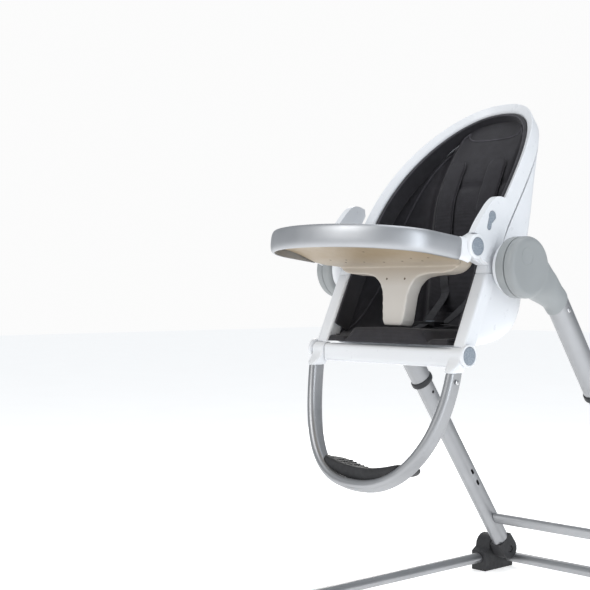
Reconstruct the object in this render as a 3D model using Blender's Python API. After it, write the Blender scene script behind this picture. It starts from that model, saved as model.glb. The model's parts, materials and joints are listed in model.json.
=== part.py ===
"""Baby high chair with an egg-shaped seat loop, hub joints, telescopic slanted legs and a floor base.

World frame: +Z up with the floor at Z 0, the child faces -Y, and +X is the child's left.
Seat, hub and leg sizes are written from the seat's own datum, the lower seam of the seat loop,
which stands SEAT_Y from the middle of the base.
"""
import math

import bmesh
import bpy
from mathutils import Matrix, Vector

# ---------------------------------------------------------------- driving dimensions, metres
GAP = 0.0003            # gap between pieces that touch
SEAT_Y = -0.24          # world Y of the seat datum
LEFT, RIGHT = 1, -1     # the child's left is +X
SIDES = (("left", LEFT), ("right", RIGHT))

# floor base
BASE_HALF_DEPTH = 0.47
RAIL_X = 0.276
RAIL_WIDTH, RAIL_HEIGHT, RAIL_Z = 0.030, 0.024, 0.030
FOOT_LENGTH, FOOT_HEIGHT, FOOT_WIDTH = 0.070, 0.048, 0.038
CROSS_TUBE_R = 0.012

# slanted telescopic legs
LEG_LEAN = math.radians(35.5)
LEG_X = 0.2285
KNUCKLE = Vector((0.0, 0.6487, 0.055))       # leg pivot at the back of the base
UPPER_TUBE = (0.020, 0.025)                  # half-widths across X and front to back
LOWER_TUBE = (0.0172, 0.0222)
LOWER_BORE = (0.0150, 0.0200)
SLIDE_BORE = (0.0177, 0.0227)
COLLAR_AT, COLLAR_LENGTH, COLLAR = 0.522, 0.015, (0.0225, 0.0275)
UPPER_TOP, LOWER_TOP, LOWER_FOOT = 0.742, 0.634, 0.032
NECK_FOOT, NECK_WALL = 0.7295, 0.0013          # lower end of the hub cover's neck on the leg
HOLE_STATIONS = (0.482, 0.245, 0.212)
HOLE_R = 0.0035
BRACE_AT = 0.100
AXLE_R = 0.008

# hub joint
HUB = Vector((0.0, 0.105, 0.7175))
HUB_R = 0.057
SHAFT_R = 0.012
BOSS_X, DISC_X, COVER_X, COVER_OUT_X = 0.1955, 0.2150, 0.2370, 0.2580

# seat loop: side tubes, rim and footrest loop share one outline
SEAM_Z, TRAY_SEAM_Z = 0.5733, 0.707
LOOP_LEAN = math.radians(25.0)
LOOP_FRONT_Y = -0.0081                       # front of the side tubes at the lower seam
BEND_Z, BEND = 0.744, 1.237                   # above this height the loop curves backwards
TUBE_X = 0.180
TUBE_HALF, TUBE_DEPTH = 0.015, 0.029
RIM_HALF, RIM_DEPTH, RIM_BEVEL = 0.008, 0.039, 0.011
ARCH_WIDTH, ARCH_FOOT_Z, ARCH_TOP_Z, ARCH_POWER = 0.1665, 0.818, 1.0635, 2.31
SHELL_WALL = 0.004

# tray
TRAY_PIVOT = Vector((0.0, 0.020, 0.755))
TRAY_TILT = math.radians(6.8)
TRAY_HALF, TRAY_STRAIGHT, TRAY_NOSE = 0.195, 0.110, 0.1246
POST_FRONT, POST_BACK, POST_FOOT = 0.006, 0.040, -0.147
TRAY_LOW, TRAY_HIGH, BAND = -0.029, 0.013, 0.009
ARM_START = 0.036
CAP_IN_X, CAP_OUT_X = 0.1835, 0.2025
PIVOT_BOSS_R, BUTTON_R, BUTTON_PROUD, BUTTON_THICK = 0.0225, 0.0165, 0.0015, 0.0035
PRESS_ROOM = 0.003
WING_X, WING_HINGE_X, WING_OUT_X = 0.165, 0.182, 0.1945
PIN_R = 0.007

# footrest
FOOT_PIVOT = Vector((0.0, -0.0030, 0.5570))
FITTING_Y, FITTING_Z = -0.0205, 0.526           # where the loop's middle line meets its fittings
FOOT_LOOP = (0.0095, 0.017)                  # half-thickness in the loop's plane and across it
FOOT_WIDTH_HALF, FOOT_TOP_Z, FOOT_BOTTOM_Z, FOOT_POWER = 0.1815, 0.5761, 0.3099, 2.37
PLATE_HALF, PLATE_FRONT, PLATE_BACK = 0.132, -0.086, -0.008
FOOT_SLOPE, FOOT_BOW = 0.1766, 0.607          # how the footrest loop runs forward below its fittings
PLATE_TOP_Z, PLATE_RISE = 0.344, 0.030
PLATE_FALL, PLATE_EDGE = 0.0155, 0.010           # fall to the back, least thickness there

# padding: rear line of the back pad, (Y, Z)
BACK_LINE = ((0.208, 0.622), (0.230, 0.690), (0.243, 0.780), (0.262, 0.860), (0.300, 0.945), (0.334, 1.000))
PAD_THICK, BACK_HALF, SEAT_PAD_HALF = 0.022, 0.100, 0.118


# ---------------------------------------------------------------- materials
def make_material(name, colour, roughness, metallic=0.0):
    """A plain Principled material."""
    result = bpy.data.materials.new(name)
    result.use_nodes = True
    shader = result.node_tree.nodes["Principled BSDF"]
    shader.inputs["Base Color"].default_value = (*colour, 1.0)
    shader.inputs["Roughness"].default_value = roughness
    shader.inputs["Metallic"].default_value = metallic
    result.diffuse_color = (*colour, 1.0)
    return result


FINISHES = {
    "white_plastic": ((0.86, 0.87, 0.88), 0.32, 0.0),
    "grey_plastic": ((0.30, 0.31, 0.32), 0.45, 0.0),
    "button_grey": ((0.33, 0.37, 0.42), 0.45, 0.0),
    "silver_tube": ((0.62, 0.63, 0.65), 0.30, 0.9),
    "steel": ((0.55, 0.55, 0.56), 0.25, 1.0),
    "black_plastic": ((0.03, 0.03, 0.035), 0.50, 0.0),
    "charcoal_plastic": ((0.045, 0.045, 0.048), 0.65, 0.0),
    "fabric": ((0.022, 0.020, 0.026), 0.90, 0.0),
    "webbing": ((0.05, 0.05, 0.055), 0.85, 0.0),
}


# ---------------------------------------------------------------- outlines and sections
def oval(half_a, half_b, count=20):
    """Closed ellipse as (a, b) pairs."""
    steps = [2 * math.pi * i / count for i in range(count)]
    return [(half_a * math.cos(t), half_b * math.sin(t)) for t in steps]


def stadium(half_a, half_b, count=4):
    """Flat oval, the long way along b, with round ends of radius half_a."""
    straight = half_b - half_a
    upper = [math.pi * i / count for i in range(count + 1)]
    top = [(half_a * math.cos(t), straight + half_a * math.sin(t)) for t in upper]
    return top + [(-a, -b) for a, b in top]


def rounded_box(half_a, half_b, radius, count=2):
    """Rectangle with round corners."""
    points = []
    for turn, (sa, sb) in enumerate(((1, 1), (-1, 1), (-1, -1), (1, -1))):
        for i in range(count + 1):
            t = math.pi / 2 * (turn + i / count)
            points.append((sa * (half_a - radius) + radius * math.cos(t),
                           sb * (half_b - radius) + radius * math.sin(t)))
    return points


def resample(points, per_span=6):
    """Smooth curve through a few 2-D points, as a Catmull-Rom spline."""
    ends = [points[0]] + list(points) + [points[-1]]
    curve = []
    for i in range(len(points) - 1):
        p0, p1, p2, p3 = (Vector(p) for p in ends[i:i + 4])
        for k in range(per_span):
            t = k / per_span
            curve.append(0.5 * (2 * p1 + (p2 - p0) * t + (2 * p0 - 5 * p1 + 4 * p2 - p3) * t * t
                                + (3 * p1 - p0 - 3 * p2 + p3) * t ** 3))
    return curve + [Vector(points[-1])]


def front_line(z):
    """Y of the seat loop's front at height z."""
    above = max(0.0, z - BEND_Z)
    return LOOP_FRONT_Y + math.tan(LOOP_LEAN) * (z - SEAM_Z) + BEND * above ** 2


def loop_back_direction(z):
    """Unit vector square to the seat loop's face, pointing behind the seat."""
    slope = math.tan(LOOP_LEAN) + 2 * BEND * max(0.0, z - BEND_Z)
    return Vector((0.0, 1.0, -slope)).normalized()


def arch_station(angle):
    """Half-width and height of the rim's middle, from 0 at the arch's foot to pi/2 at its top."""
    power = 2 / ARCH_POWER
    width = ARCH_WIDTH * math.cos(angle) ** power
    height = ARCH_FOOT_Z + (ARCH_TOP_Z - ARCH_FOOT_Z) * math.sin(angle) ** power
    return width, height


def tube_half_width(z):
    """Distance from the middle plane to the middle of the seat loop below the arch."""
    share = (z - TRAY_SEAM_Z) / (ARCH_FOOT_Z - TRAY_SEAM_Z)
    return TUBE_X + (ARCH_WIDTH - TUBE_X) * min(1.0, max(0.0, share))


def rim_section(share):
    """Rim outline (outward, backward), from square tube at share 0 to bevelled band at share 1."""
    half = TUBE_HALF + (RIM_HALF - TUBE_HALF) * share
    depth = TUBE_DEPTH + (RIM_DEPTH - TUBE_DEPTH) * share
    bevel = RIM_BEVEL * share
    soft = 0.005 - 0.002 * share
    return [(half - soft, 0.0), (half, soft), (half, depth - soft), (half - soft, depth),
            (soft - half, depth), (-half, depth - soft), (-half, bevel + soft),
            (soft - half, bevel * 0.75)]


def foot_loop_station(angle, inset=0.0):
    """Point on the footrest loop's middle line, from 0 at the bottom to pi/2 at full width."""
    power = 2 / FOOT_POWER
    width = (FOOT_WIDTH_HALF - inset) * math.sin(angle) ** power
    drop = (FOOT_TOP_Z - FOOT_BOTTOM_Z - inset) * math.cos(angle) ** power
    height = FOOT_TOP_Z - drop
    below = max(0.0, FITTING_Z - height)
    return Vector((width, foot_loop_y(below), height))


def foot_loop_y(below):
    """Y of the footrest loop's middle line at a distance below its fittings."""
    return FITTING_Y - FOOT_SLOPE * below - FOOT_BOW * below ** 2


def plate_top(x):
    """Height of the foot plate's front edge."""
    return PLATE_TOP_Z + PLATE_RISE * (x / PLATE_HALF) ** 2


# ---------------------------------------------------------------- mesh building
def loft(rings, closed=False):
    """Skin a list of rings of points; an open loft gets flat ends."""
    bm = bmesh.new()
    rows = [[bm.verts.new(p) for p in ring] for ring in rings]
    count = len(rows[0])
    spans = len(rows) if closed else len(rows) - 1
    for i in range(spans):
        here, there = rows[i], rows[(i + 1) % len(rows)]
        for j in range(count):
            k = (j + 1) % count
            bm.faces.new((here[j], here[k], there[k], there[j]))
    if not closed:
        bm.faces.new(rows[0])
        bm.faces.new(reversed(rows[-1]))
    bmesh.ops.recalc_face_normals(bm, faces=bm.faces)
    return bm


def prism_x(outline, x_from, x_to):
    """Outline in (Y, Z) extruded along X."""
    return loft([[(x, y, z) for y, z in outline] for x in (x_from, x_to)])


def prism_y(outline, y_from, y_to):
    """Outline in (X, Z) extruded along Y."""
    return loft([[(x, y, z) for x, z in outline] for y in (y_from, y_to)])


def disc_x(centre, profile, count=24, bore=0.0):
    """Turned piece on an X axis; profile is (x, radius), with an optional bore."""
    def ring(x, radius):
        steps = [2 * math.pi * i / count for i in range(count)]
        return [(x, centre[1] + radius * math.cos(t), centre[2] + radius * math.sin(t)) for t in steps]
    rings = [ring(x, radius) for x, radius in profile]
    if bore:
        rings += [ring(profile[-1][0], bore), ring(profile[0][0], bore)]
    return loft(rings, closed=bool(bore))


def sweep(path, sections, across, closed=False):
    """Carry sections along a path; across(i) gives the section's two axes at each point."""
    rings = []
    for i, point in enumerate(path):
        first, second = across(i)
        rings.append([point + first * a + second * b for a, b in sections[i]])
    return loft(rings, closed)


def straight_tube(section, start, end, bore=None, axes=(Vector((1, 0, 0)), Vector((0, 1, 0)))):
    """Tube along a straight line between two points, hollow when a bore section is given."""
    def ring(shape, point):
        return [Vector(point) + axes[0] * a + axes[1] * b for a, b in shape]
    if bore is None:
        return loft([ring(section, start), ring(section, end)])
    return loft([ring(section, start), ring(section, end), ring(bore, end), ring(bore, start)], closed=True)


# ---------------------------------------------------------------- placing pieces
def pivot_empty(name, location):
    """Empty on a joint's axis that carries the pieces of one moving body."""
    empty = bpy.data.objects.new(name, None)
    empty.location = location
    empty.empty_display_size = 0.05
    bpy.context.collection.objects.link(empty)
    return empty


def place(name, bm, finish, pivot, location=(0.0, SEAT_Y, 0.0), tilt=0.0, smooth=35):
    """Turn a bmesh into a named piece that hangs on its body's pivot."""
    mesh = bpy.data.meshes.new(name)
    bm.to_mesh(mesh)
    bm.free()
    mesh.shade_smooth()
    mesh.set_sharp_from_angle(angle=math.radians(smooth))
    piece = bpy.data.objects.new(name, mesh)
    bpy.context.collection.objects.link(piece)
    mesh.materials.append(make_material(name + "_finish", *FINISHES[finish]))
    piece.parent = pivot
    piece.matrix_parent_inverse = Matrix.Translation(-pivot.location)
    piece.location = location
    piece.rotation_euler = (tilt, 0.0, 0.0)
    return piece


def boolean(piece, tool_bm, operation):
    """Cut a piece with a tool shape, or join the shape to it."""
    mesh = bpy.data.meshes.new(piece.name + "_tool")
    tool_bm.to_mesh(mesh)
    tool_bm.free()
    tool = bpy.data.objects.new(piece.name + "_tool", mesh)
    bpy.context.collection.objects.link(tool)
    tool.parent = piece.parent
    tool.matrix_parent_inverse = piece.matrix_parent_inverse.copy()
    tool.location = piece.location
    tool.rotation_euler = piece.rotation_euler
    tool.hide_render = True
    tool.display_type = "WIRE"
    modifier = piece.modifiers.new(operation.lower(), "BOOLEAN")
    modifier.operation = operation
    modifier.object = tool
    return piece


# ---------------------------------------------------------------- base
def build_base(pivot):
    """Two floor rails, front feet, rear knuckle housings with spigots, and a rear cross tube."""
    front = -BASE_HALF_DEPTH
    knuckle_y = KNUCKLE.y + SEAT_Y
    housing_front = knuckle_y - 0.045
    for label, side in SIDES:
        x = side * RAIL_X
        start, end = Vector((x, front + FOOT_LENGTH, RAIL_Z)), Vector((x, housing_front - GAP, RAIL_Z))
        rail = straight_tube(oval(RAIL_WIDTH / 2, RAIL_HEIGHT / 2, 16), start, end,
                             axes=(Vector((1, 0, 0)), Vector((0, 0, 1))))
        place(f"base_rail_{label}", rail, "silver_tube", pivot, (0, 0, 0))
        outline = [(front, 0.0), (front, FOOT_HEIGHT * 0.45), (front + 0.016, FOOT_HEIGHT),
                   (front + FOOT_LENGTH - GAP, FOOT_HEIGHT), (front + FOOT_LENGTH - GAP, 0.0)]
        foot = prism_x(outline, x - FOOT_WIDTH / 2, x + FOOT_WIDTH / 2)
        place(f"front_foot_{label}", foot, "charcoal_plastic", pivot, (0, 0, 0))
        inner, outer = side * (LEG_X + 0.0240), side * (RAIL_X + FOOT_WIDTH / 2)
        top = [(knuckle_y + 0.030 * math.cos(t), KNUCKLE.z + 0.030 * math.sin(t))
               for t in (math.pi * i / 8 for i in range(9))]
        outline = top + [(housing_front, RAIL_Z + 0.016), (housing_front, 0.0),
                         (BASE_HALF_DEPTH, 0.0), (BASE_HALF_DEPTH, 0.030)]
        housing = place(f"rear_knuckle_{label}", prism_x(outline, inner, outer), "charcoal_plastic",
                        pivot, (0, 0, 0))
        spigot = disc_x((0, knuckle_y, KNUCKLE.z), [(side * (LEG_X - 0.016), AXLE_R),
                                                    (side * RAIL_X, AXLE_R)], 16)
        boolean(housing, spigot, "UNION")
    cross_y, cross_z = knuckle_y + 0.043, 0.026
    half = LEG_X + 0.0240 - GAP
    cross = straight_tube(oval(CROSS_TUBE_R, CROSS_TUBE_R, 12), (-half, cross_y, cross_z),
                          (half, cross_y, cross_z), axes=(Vector((0, 1, 0)), Vector((0, 0, 1))))
    place("base_cross_tube", cross, "silver_tube", pivot, (0, 0, 0))


# ---------------------------------------------------------------- legs and carriage
def build_legs(pivot, origin):
    """Lower leg tubes on their knuckle lugs, joined by a brace; local Z runs up the leg."""
    for label, side in SIDES:
        x = side * LEG_X
        tube = straight_tube(oval(*LOWER_TUBE), (x, 0, LOWER_FOOT), (x, 0, LOWER_TOP), oval(*LOWER_BORE))
        leg = place(f"lower_leg_{label}", tube, "silver_tube", pivot, origin, LEG_LEAN)
        drills = bmesh.new()
        for station in HOLE_STATIONS:
            spot = Matrix.Translation((x - side * LOWER_TUBE[0], 0, station))
            turn = Matrix.Rotation(math.pi / 2, 4, "Y")
            bmesh.ops.create_cone(drills, cap_ends=True, segments=10, radius1=HOLE_R, radius2=HOLE_R,
                                  depth=0.012, matrix=spot @ turn)
        boolean(leg, drills, "DIFFERENCE")
        eye = [(0.024 * math.cos(t), 0.024 * math.sin(t))
               for t in (math.pi * (1 + i / 8) for i in range(9))]
        outline = eye + [(0.022, LOWER_FOOT - GAP), (-0.022, LOWER_FOOT - GAP)]
        lug = place(f"leg_lug_{label}", prism_x(outline, x - 0.0172, x + 0.0172), "charcoal_plastic",
                    pivot, origin, LEG_LEAN)
        boolean(lug, disc_x((0, 0, 0), [(x - 0.025, AXLE_R + GAP), (x + 0.025, AXLE_R + GAP)], 16),
                "DIFFERENCE")
    half = LEG_X - LOWER_TUBE[0] - GAP
    brace = straight_tube(oval(0.008, 0.015, 16), (-half, 0, BRACE_AT), (half, 0, BRACE_AT),
                          axes=(Vector((0, 1, 0)), Vector((0, 0, 1))))
    place("leg_brace", brace, "silver_tube", pivot, origin, LEG_LEAN)


def leg_point(along, across=0.0):
    """Y and Z, from the seat datum, of a point along the leg; across is positive to the front."""
    return (KNUCKLE.y - math.sin(LEG_LEAN) * along - math.cos(LEG_LEAN) * across,
            KNUCKLE.z + math.cos(LEG_LEAN) * along - math.sin(LEG_LEAN) * across)


def neck_rings(side):
    """Rings up the leg: an oval round the tube that widens and moves out into the hub's head."""
    half_x, half_c = UPPER_TUBE[0] + NECK_WALL, UPPER_TUBE[1] + NECK_WALL
    slant = 0.28                                 # the lower end runs down towards the front
    stations = ((NECK_FOOT, LEG_X, half_x, -half_c, half_c + 0.002),
                (0.7455, LEG_X + 0.001, half_x, -half_c, half_c + 0.008),
                (0.760, LEG_X + 0.003, half_x, 0.010 - half_c, half_c + 0.018),
                (0.776, LEG_X + 0.006, half_x - 0.0005, -0.0105, 0.0570),
                (0.792, LEG_X + 0.011, half_x - 0.0035, -0.0055, 0.0710),
                (0.808, LEG_X + 0.016, half_x - 0.0085, -0.0020, 0.0860),
                (0.835, LEG_X + 0.0195, half_x - 0.0120, 0.0040, 0.1050))
    rings = []
    for along, x, half, low, high in stations:
        lean = slant if along == NECK_FOOT else 0.0
        ring = []
        for t in (2 * math.pi * (i + 0.5) / 22 for i in range(22)):
            across = (low + high) / 2 + (high - low) / 2 * math.sin(t)
            out = math.copysign(abs(math.cos(t)) ** 0.8, math.cos(t))
            ring.append((side * (x + half * out), *leg_point(along - lean * across, across)))
        rings.append(ring)
    return rings


def build_carriage(pivot, origin):
    """Upper leg tubes, collars, hub covers and their screws; they slide on the lower legs."""
    for label, side in SIDES:
        x = side * LEG_X
        tube = straight_tube(oval(*UPPER_TUBE), (x, 0, COLLAR_AT), (x, 0, UPPER_TOP), oval(*SLIDE_BORE))
        place(f"upper_leg_{label}", tube, "silver_tube", pivot, origin, LEG_LEAN)
        collar = straight_tube(oval(*COLLAR), (x, 0, COLLAR_AT - COLLAR_LENGTH), (x, 0, COLLAR_AT - GAP),
                               oval(*SLIDE_BORE))
        place(f"leg_collar_{label}", collar, "black_plastic", pivot, origin, LEG_LEAN)
        head = [(side * COVER_X, HUB_R), (side * (COVER_OUT_X - 0.008), HUB_R),
                (side * (COVER_OUT_X - 0.003), HUB_R - 0.003), (side * COVER_OUT_X, HUB_R - 0.010)]
        cover = place(f"hub_cover_{label}", disc_x(HUB, head, 32), "grey_plastic", pivot)
        boolean(cover, loft(neck_rings(side)), "UNION")
        room = disc_x(HUB, [(side * (DISC_X - 0.012), HUB_R + 0.001), (side * COVER_X, HUB_R + 0.001)], 36)
        boolean(cover, room, "DIFFERENCE")
        lean = Vector((0, math.cos(LEG_LEAN), math.sin(LEG_LEAN)))
        low_y, low_z = leg_point(NECK_FOOT - 0.02)
        high_y, high_z = leg_point(UPPER_TOP + GAP)
        bore = straight_tube(oval(UPPER_TUBE[0] + GAP, UPPER_TUBE[1] + GAP), (x, low_y, low_z),
                             (x, high_y, high_z), axes=(Vector((1, 0, 0)), lean))
        boolean(cover, bore, "DIFFERENCE")
        socket_x = side * (COVER_X - 0.004)
        well = disc_x(HUB, [(socket_x, SHAFT_R + GAP), (side * (COVER_OUT_X - 0.006), SHAFT_R + GAP)], 20)
        boolean(cover, well, "DIFFERENCE")
        screw_y, screw_z = leg_point(0.716)
        out = side * (LEG_X + UPPER_TUBE[0] + GAP)
        screw = disc_x((0, screw_y, screw_z), [(out, 0.0045), (out + side * 0.0018, 0.0036)], 12)
        place(f"leg_screw_{label}", screw, "steel", pivot)


def build_hub(pivot):
    """Hub discs between the seat bosses and the hub covers."""
    for label, side in SIDES:
        profile = [(side * DISC_X, HUB_R - 0.004), (side * (DISC_X + 0.005), HUB_R),
                   (side * (COVER_X - GAP), HUB_R)]
        place(f"hub_disc_{label}", disc_x(HUB, profile, 32, SHAFT_R + GAP), "grey_plastic", pivot)


# ---------------------------------------------------------------- seat loop and shell
def build_rim(pivot):
    """Upper seat loop from one tray seam over the head to the other."""
    lower = [TRAY_SEAM_Z + GAP + (ARCH_FOOT_Z - TRAY_SEAM_Z) * i / 4 for i in range(4)]
    half_path = [(tube_half_width(z), z, min(1.0, i / 4)) for i, z in enumerate(lower)]
    half_path += [(*arch_station(math.pi / 2 * i / 9), 1.0) for i in range(10)]
    stations = half_path + [(-w, z, s) for w, z, s in reversed(half_path[:-1])]
    path = [Vector((w, front_line(z), z)) for w, z, _ in stations]
    sections = [rim_section(s) for _, _, s in stations]

    def across(i):
        back = loop_back_direction(stations[i][1])
        along = (path[min(i + 1, len(path) - 1)] - path[max(i - 1, 0)]).normalized()
        if i in (0, len(path) - 1):
            along = Vector((0, 0, 1 if i == 0 else -1))
            back = Vector((0, 1, 0))
        return along.cross(back).normalized() * -1, back

    place("seat_rim", sweep(path, sections, across), "white_plastic", pivot)


def build_side_tubes(pivot):
    """Square side tubes between the tray seam and the footrest fittings."""
    for label, side in SIDES:
        rings = []
        for z in (SEAM_Z, TRAY_SEAM_Z):
            rings.append([(side * (TUBE_X + a), front_line(z) + b / math.cos(LOOP_LEAN), z)
                          for a, b in rim_section(0.0)])
        place(f"side_tube_{label}", loft(rings), "white_plastic", pivot)


def shell_profile():
    """Middle line of the shell's back and pan, (Y, Z), from the head down and forward."""
    return resample([(0.372, 1.030), (0.318, 0.950), (0.277, 0.860), (0.258, 0.770), (0.245, 0.670),
                     (0.232, 0.606), (0.190, 0.575), (0.120, 0.567), (0.016, 0.571)], 3)


def shell_edge(share):
    """Edge of the shell behind the loop: share 0 at the head, 1 at the front of the pan."""
    head_part = 0.45
    if share < head_part:
        width, z = arch_station(math.pi / 2 * 0.93 * (1 - share / head_part))
        depth = RIM_DEPTH
    else:
        z = ARCH_FOOT_Z - (ARCH_FOOT_Z - 0.590) * (share - head_part) / (1 - head_part)
        width = tube_half_width(z)
        blend = min(1.0, max(0.0, (z - TRAY_SEAM_Z) / (ARCH_FOOT_Z - TRAY_SEAM_Z)))
        depth = TUBE_DEPTH + (RIM_DEPTH - TUBE_DEPTH) * blend
    if share == 1:
        return Vector((0.158, 0.020, 0.5735))
    return Vector((width, front_line(z), z)) + loop_back_direction(z) * (depth + SHELL_WALL + 0.003)


def build_shell(pivot):
    """Bucket shell: a grid between the loop's back edge and the middle line, then thickened."""
    middle = shell_profile()
    columns = 14
    squareness = 2 / 3.4
    bm = bmesh.new()
    rows = []
    for i, centre in enumerate(middle):
        edge = shell_edge(i / (len(middle) - 1))
        row = []
        for j in range(columns + 1):
            angle = math.pi / 2 * (2 * j / columns - 1)
            x = edge.x * math.copysign(abs(math.sin(angle)) ** squareness, angle)
            share = abs(math.cos(angle)) ** squareness
            y = edge.y + (centre[0] - edge.y) * share
            z = edge.z + (centre[1] - edge.z) * share
            row.append(bm.verts.new((x, y, z)))
        rows.append(row)
    for here, there in zip(rows, rows[1:]):
        for j in range(columns):
            bm.faces.new((here[j], here[j + 1], there[j + 1], there[j]))
    bmesh.ops.recalc_face_normals(bm, faces=bm.faces)
    bm.faces.ensure_lookup_table()
    if bm.faces[columns * 6 + columns // 2].normal.y < 0:
        bmesh.ops.reverse_faces(bm, faces=bm.faces)
    shell = place("seat_shell", bm, "white_plastic", pivot)
    thicken = shell.modifiers.new("wall", "SOLIDIFY")
    thicken.thickness = SHELL_WALL
    thicken.offset = 0.0
    thicken.use_even_offset = True


def build_front_lip(pivot):
    """Cross-member under the front of the seat, with the footrest's pivot stubs on its ends."""
    inner = TUBE_X - TUBE_HALF - 0.0006
    section = rounded_box(0.014, 0.018, 0.006)
    centre = Vector((0, -0.0010, 0.552))
    bar = straight_tube(section, (-inner, centre.y, centre.z), (inner, centre.y, centre.z),
                        axes=(Vector((0, 1, 0)), Vector((0, 0, 1))))
    lip = place("seat_front_lip", bar, "white_plastic", pivot)
    reach = TUBE_X - 0.002
    pins = disc_x(FOOT_PIVOT, [(-reach, PIN_R), (reach, PIN_R)], 16)
    boolean(lip, pins, "UNION")


def pivot_arc(reach, turns):
    """Points (Y, Z) on a circle about the tray pivot."""
    return [(TRAY_PIVOT.y + reach * math.cos(t), TRAY_PIVOT.z + reach * math.sin(t))
            for t in map(math.radians, turns)]


def wing_back(top):
    """Straight rear edge of the wing in front of the loop, from a height down."""
    return [(front_line(z) - 0.0006, z) for z in (top, 0.800, 0.770, 0.745, 0.722)]


def wing_outline():
    """Side wing in front of the loop: an arc about the tray pivot, a curved top and a straight back."""
    front = resample([(0.0205, 0.7810), (0.0336, 0.7997), (0.0535, 0.8224), (0.0709, 0.8397),
                      (0.0870, 0.8489), (0.1021, 0.8489), (0.1180, 0.8440)], 2)
    return pivot_arc(0.0248, (-50, -25, 0, 25, 50, 75)) + [tuple(p) for p in front] + wing_back(0.830)


def teardrop(offset=0.0):
    """Outline of the teardrop button, (Y, Z)."""
    top, bottom = Vector((0.0715, 0.812)), Vector((0.0620, 0.792))
    upper = [(top.x + (0.0098 + offset) * math.cos(t), top.y + (0.0098 + offset) * math.sin(t))
             for t in (math.radians(-20 + 200 * i / 8) for i in range(9))]
    lower = [(bottom.x + (0.0055 + offset) * math.cos(t), bottom.y + (0.0055 + offset) * math.sin(t))
             for t in (math.radians(180 + 160 * i / 6) for i in range(7))]
    return upper + lower


def build_wings(seat, buttons):
    """Side wings, stepped to clear the tray's hinge caps, and their teardrop buttons."""
    for label, side in SIDES:
        ear = pivot_arc(0.019, (-90, -120, -150, 180, 150, 120, 90)) + wing_back(0.812)
        wing = place(f"side_wing_{label}", prism_x(ear, side * WING_X, side * WING_HINGE_X),
                     "white_plastic", seat)
        blade = prism_x(wing_outline(), side * (WING_HINGE_X - 0.002), side * WING_OUT_X)
        boolean(wing, blade, "UNION")
        hole = disc_x(TRAY_PIVOT, [(side * 0.155, PIN_R + GAP), (side * 0.190, PIN_R + GAP)], 16)
        boolean(wing, hole, "DIFFERENCE")
        boolean(wing, prism_x(teardrop(GAP), side * (WING_OUT_X - 0.008), side * (WING_OUT_X + 0.010)),
                "DIFFERENCE")
        button = prism_x(teardrop(), side * (WING_OUT_X - 0.0045), side * (WING_OUT_X + 0.0010))
        place(f"wing_button_{label}", button, "button_grey", buttons[label])


def build_bosses(pivot):
    """Conical bosses that carry the seat in the hubs, notched for the side tubes."""
    for label, side in SIDES:
        inner = side * (TUBE_X + 0.0025)
        profile = [(inner, 0.030), (side * BOSS_X, 0.041), (side * (DISC_X - GAP), 0.050),
                   (side * (DISC_X - GAP + 0.0001), SHAFT_R), (side * (COVER_OUT_X - 0.0065), SHAFT_R)]
        boss = place(f"hub_boss_{label}", disc_x(HUB, profile, 28), "white_plastic", pivot)
        rows = []
        for z in (0.640, 0.700, 0.740, 0.800):
            back = front_line(z) + (TUBE_DEPTH + 0.003) / math.cos(LOOP_LEAN) + 0.006
            rows.append([(side * x, y, z) for x, y in ((0.15, -0.02), (BOSS_X + GAP, -0.02),
                                                       (BOSS_X + GAP, back), (0.15, back))])
        boolean(boss, loft(rows), "DIFFERENCE")


# ---------------------------------------------------------------- tray
def tray_station(angle, inset):
    """Plan point of the tray's nose: 0 at the side, pi/2 at the front."""
    return ((TRAY_HALF - inset) * math.cos(angle), -TRAY_STRAIGHT - (TRAY_NOSE - inset) * math.sin(angle))


def tray_plan(inset, start, steps=14):
    """Open plan of the tray rim from its left end round the nose to its right end."""
    side = TRAY_HALF - inset
    nose = [tray_station(math.pi * i / steps, inset) for i in range(steps + 1)]
    return [(side, -start)] + nose + [(-side, -start)]


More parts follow.
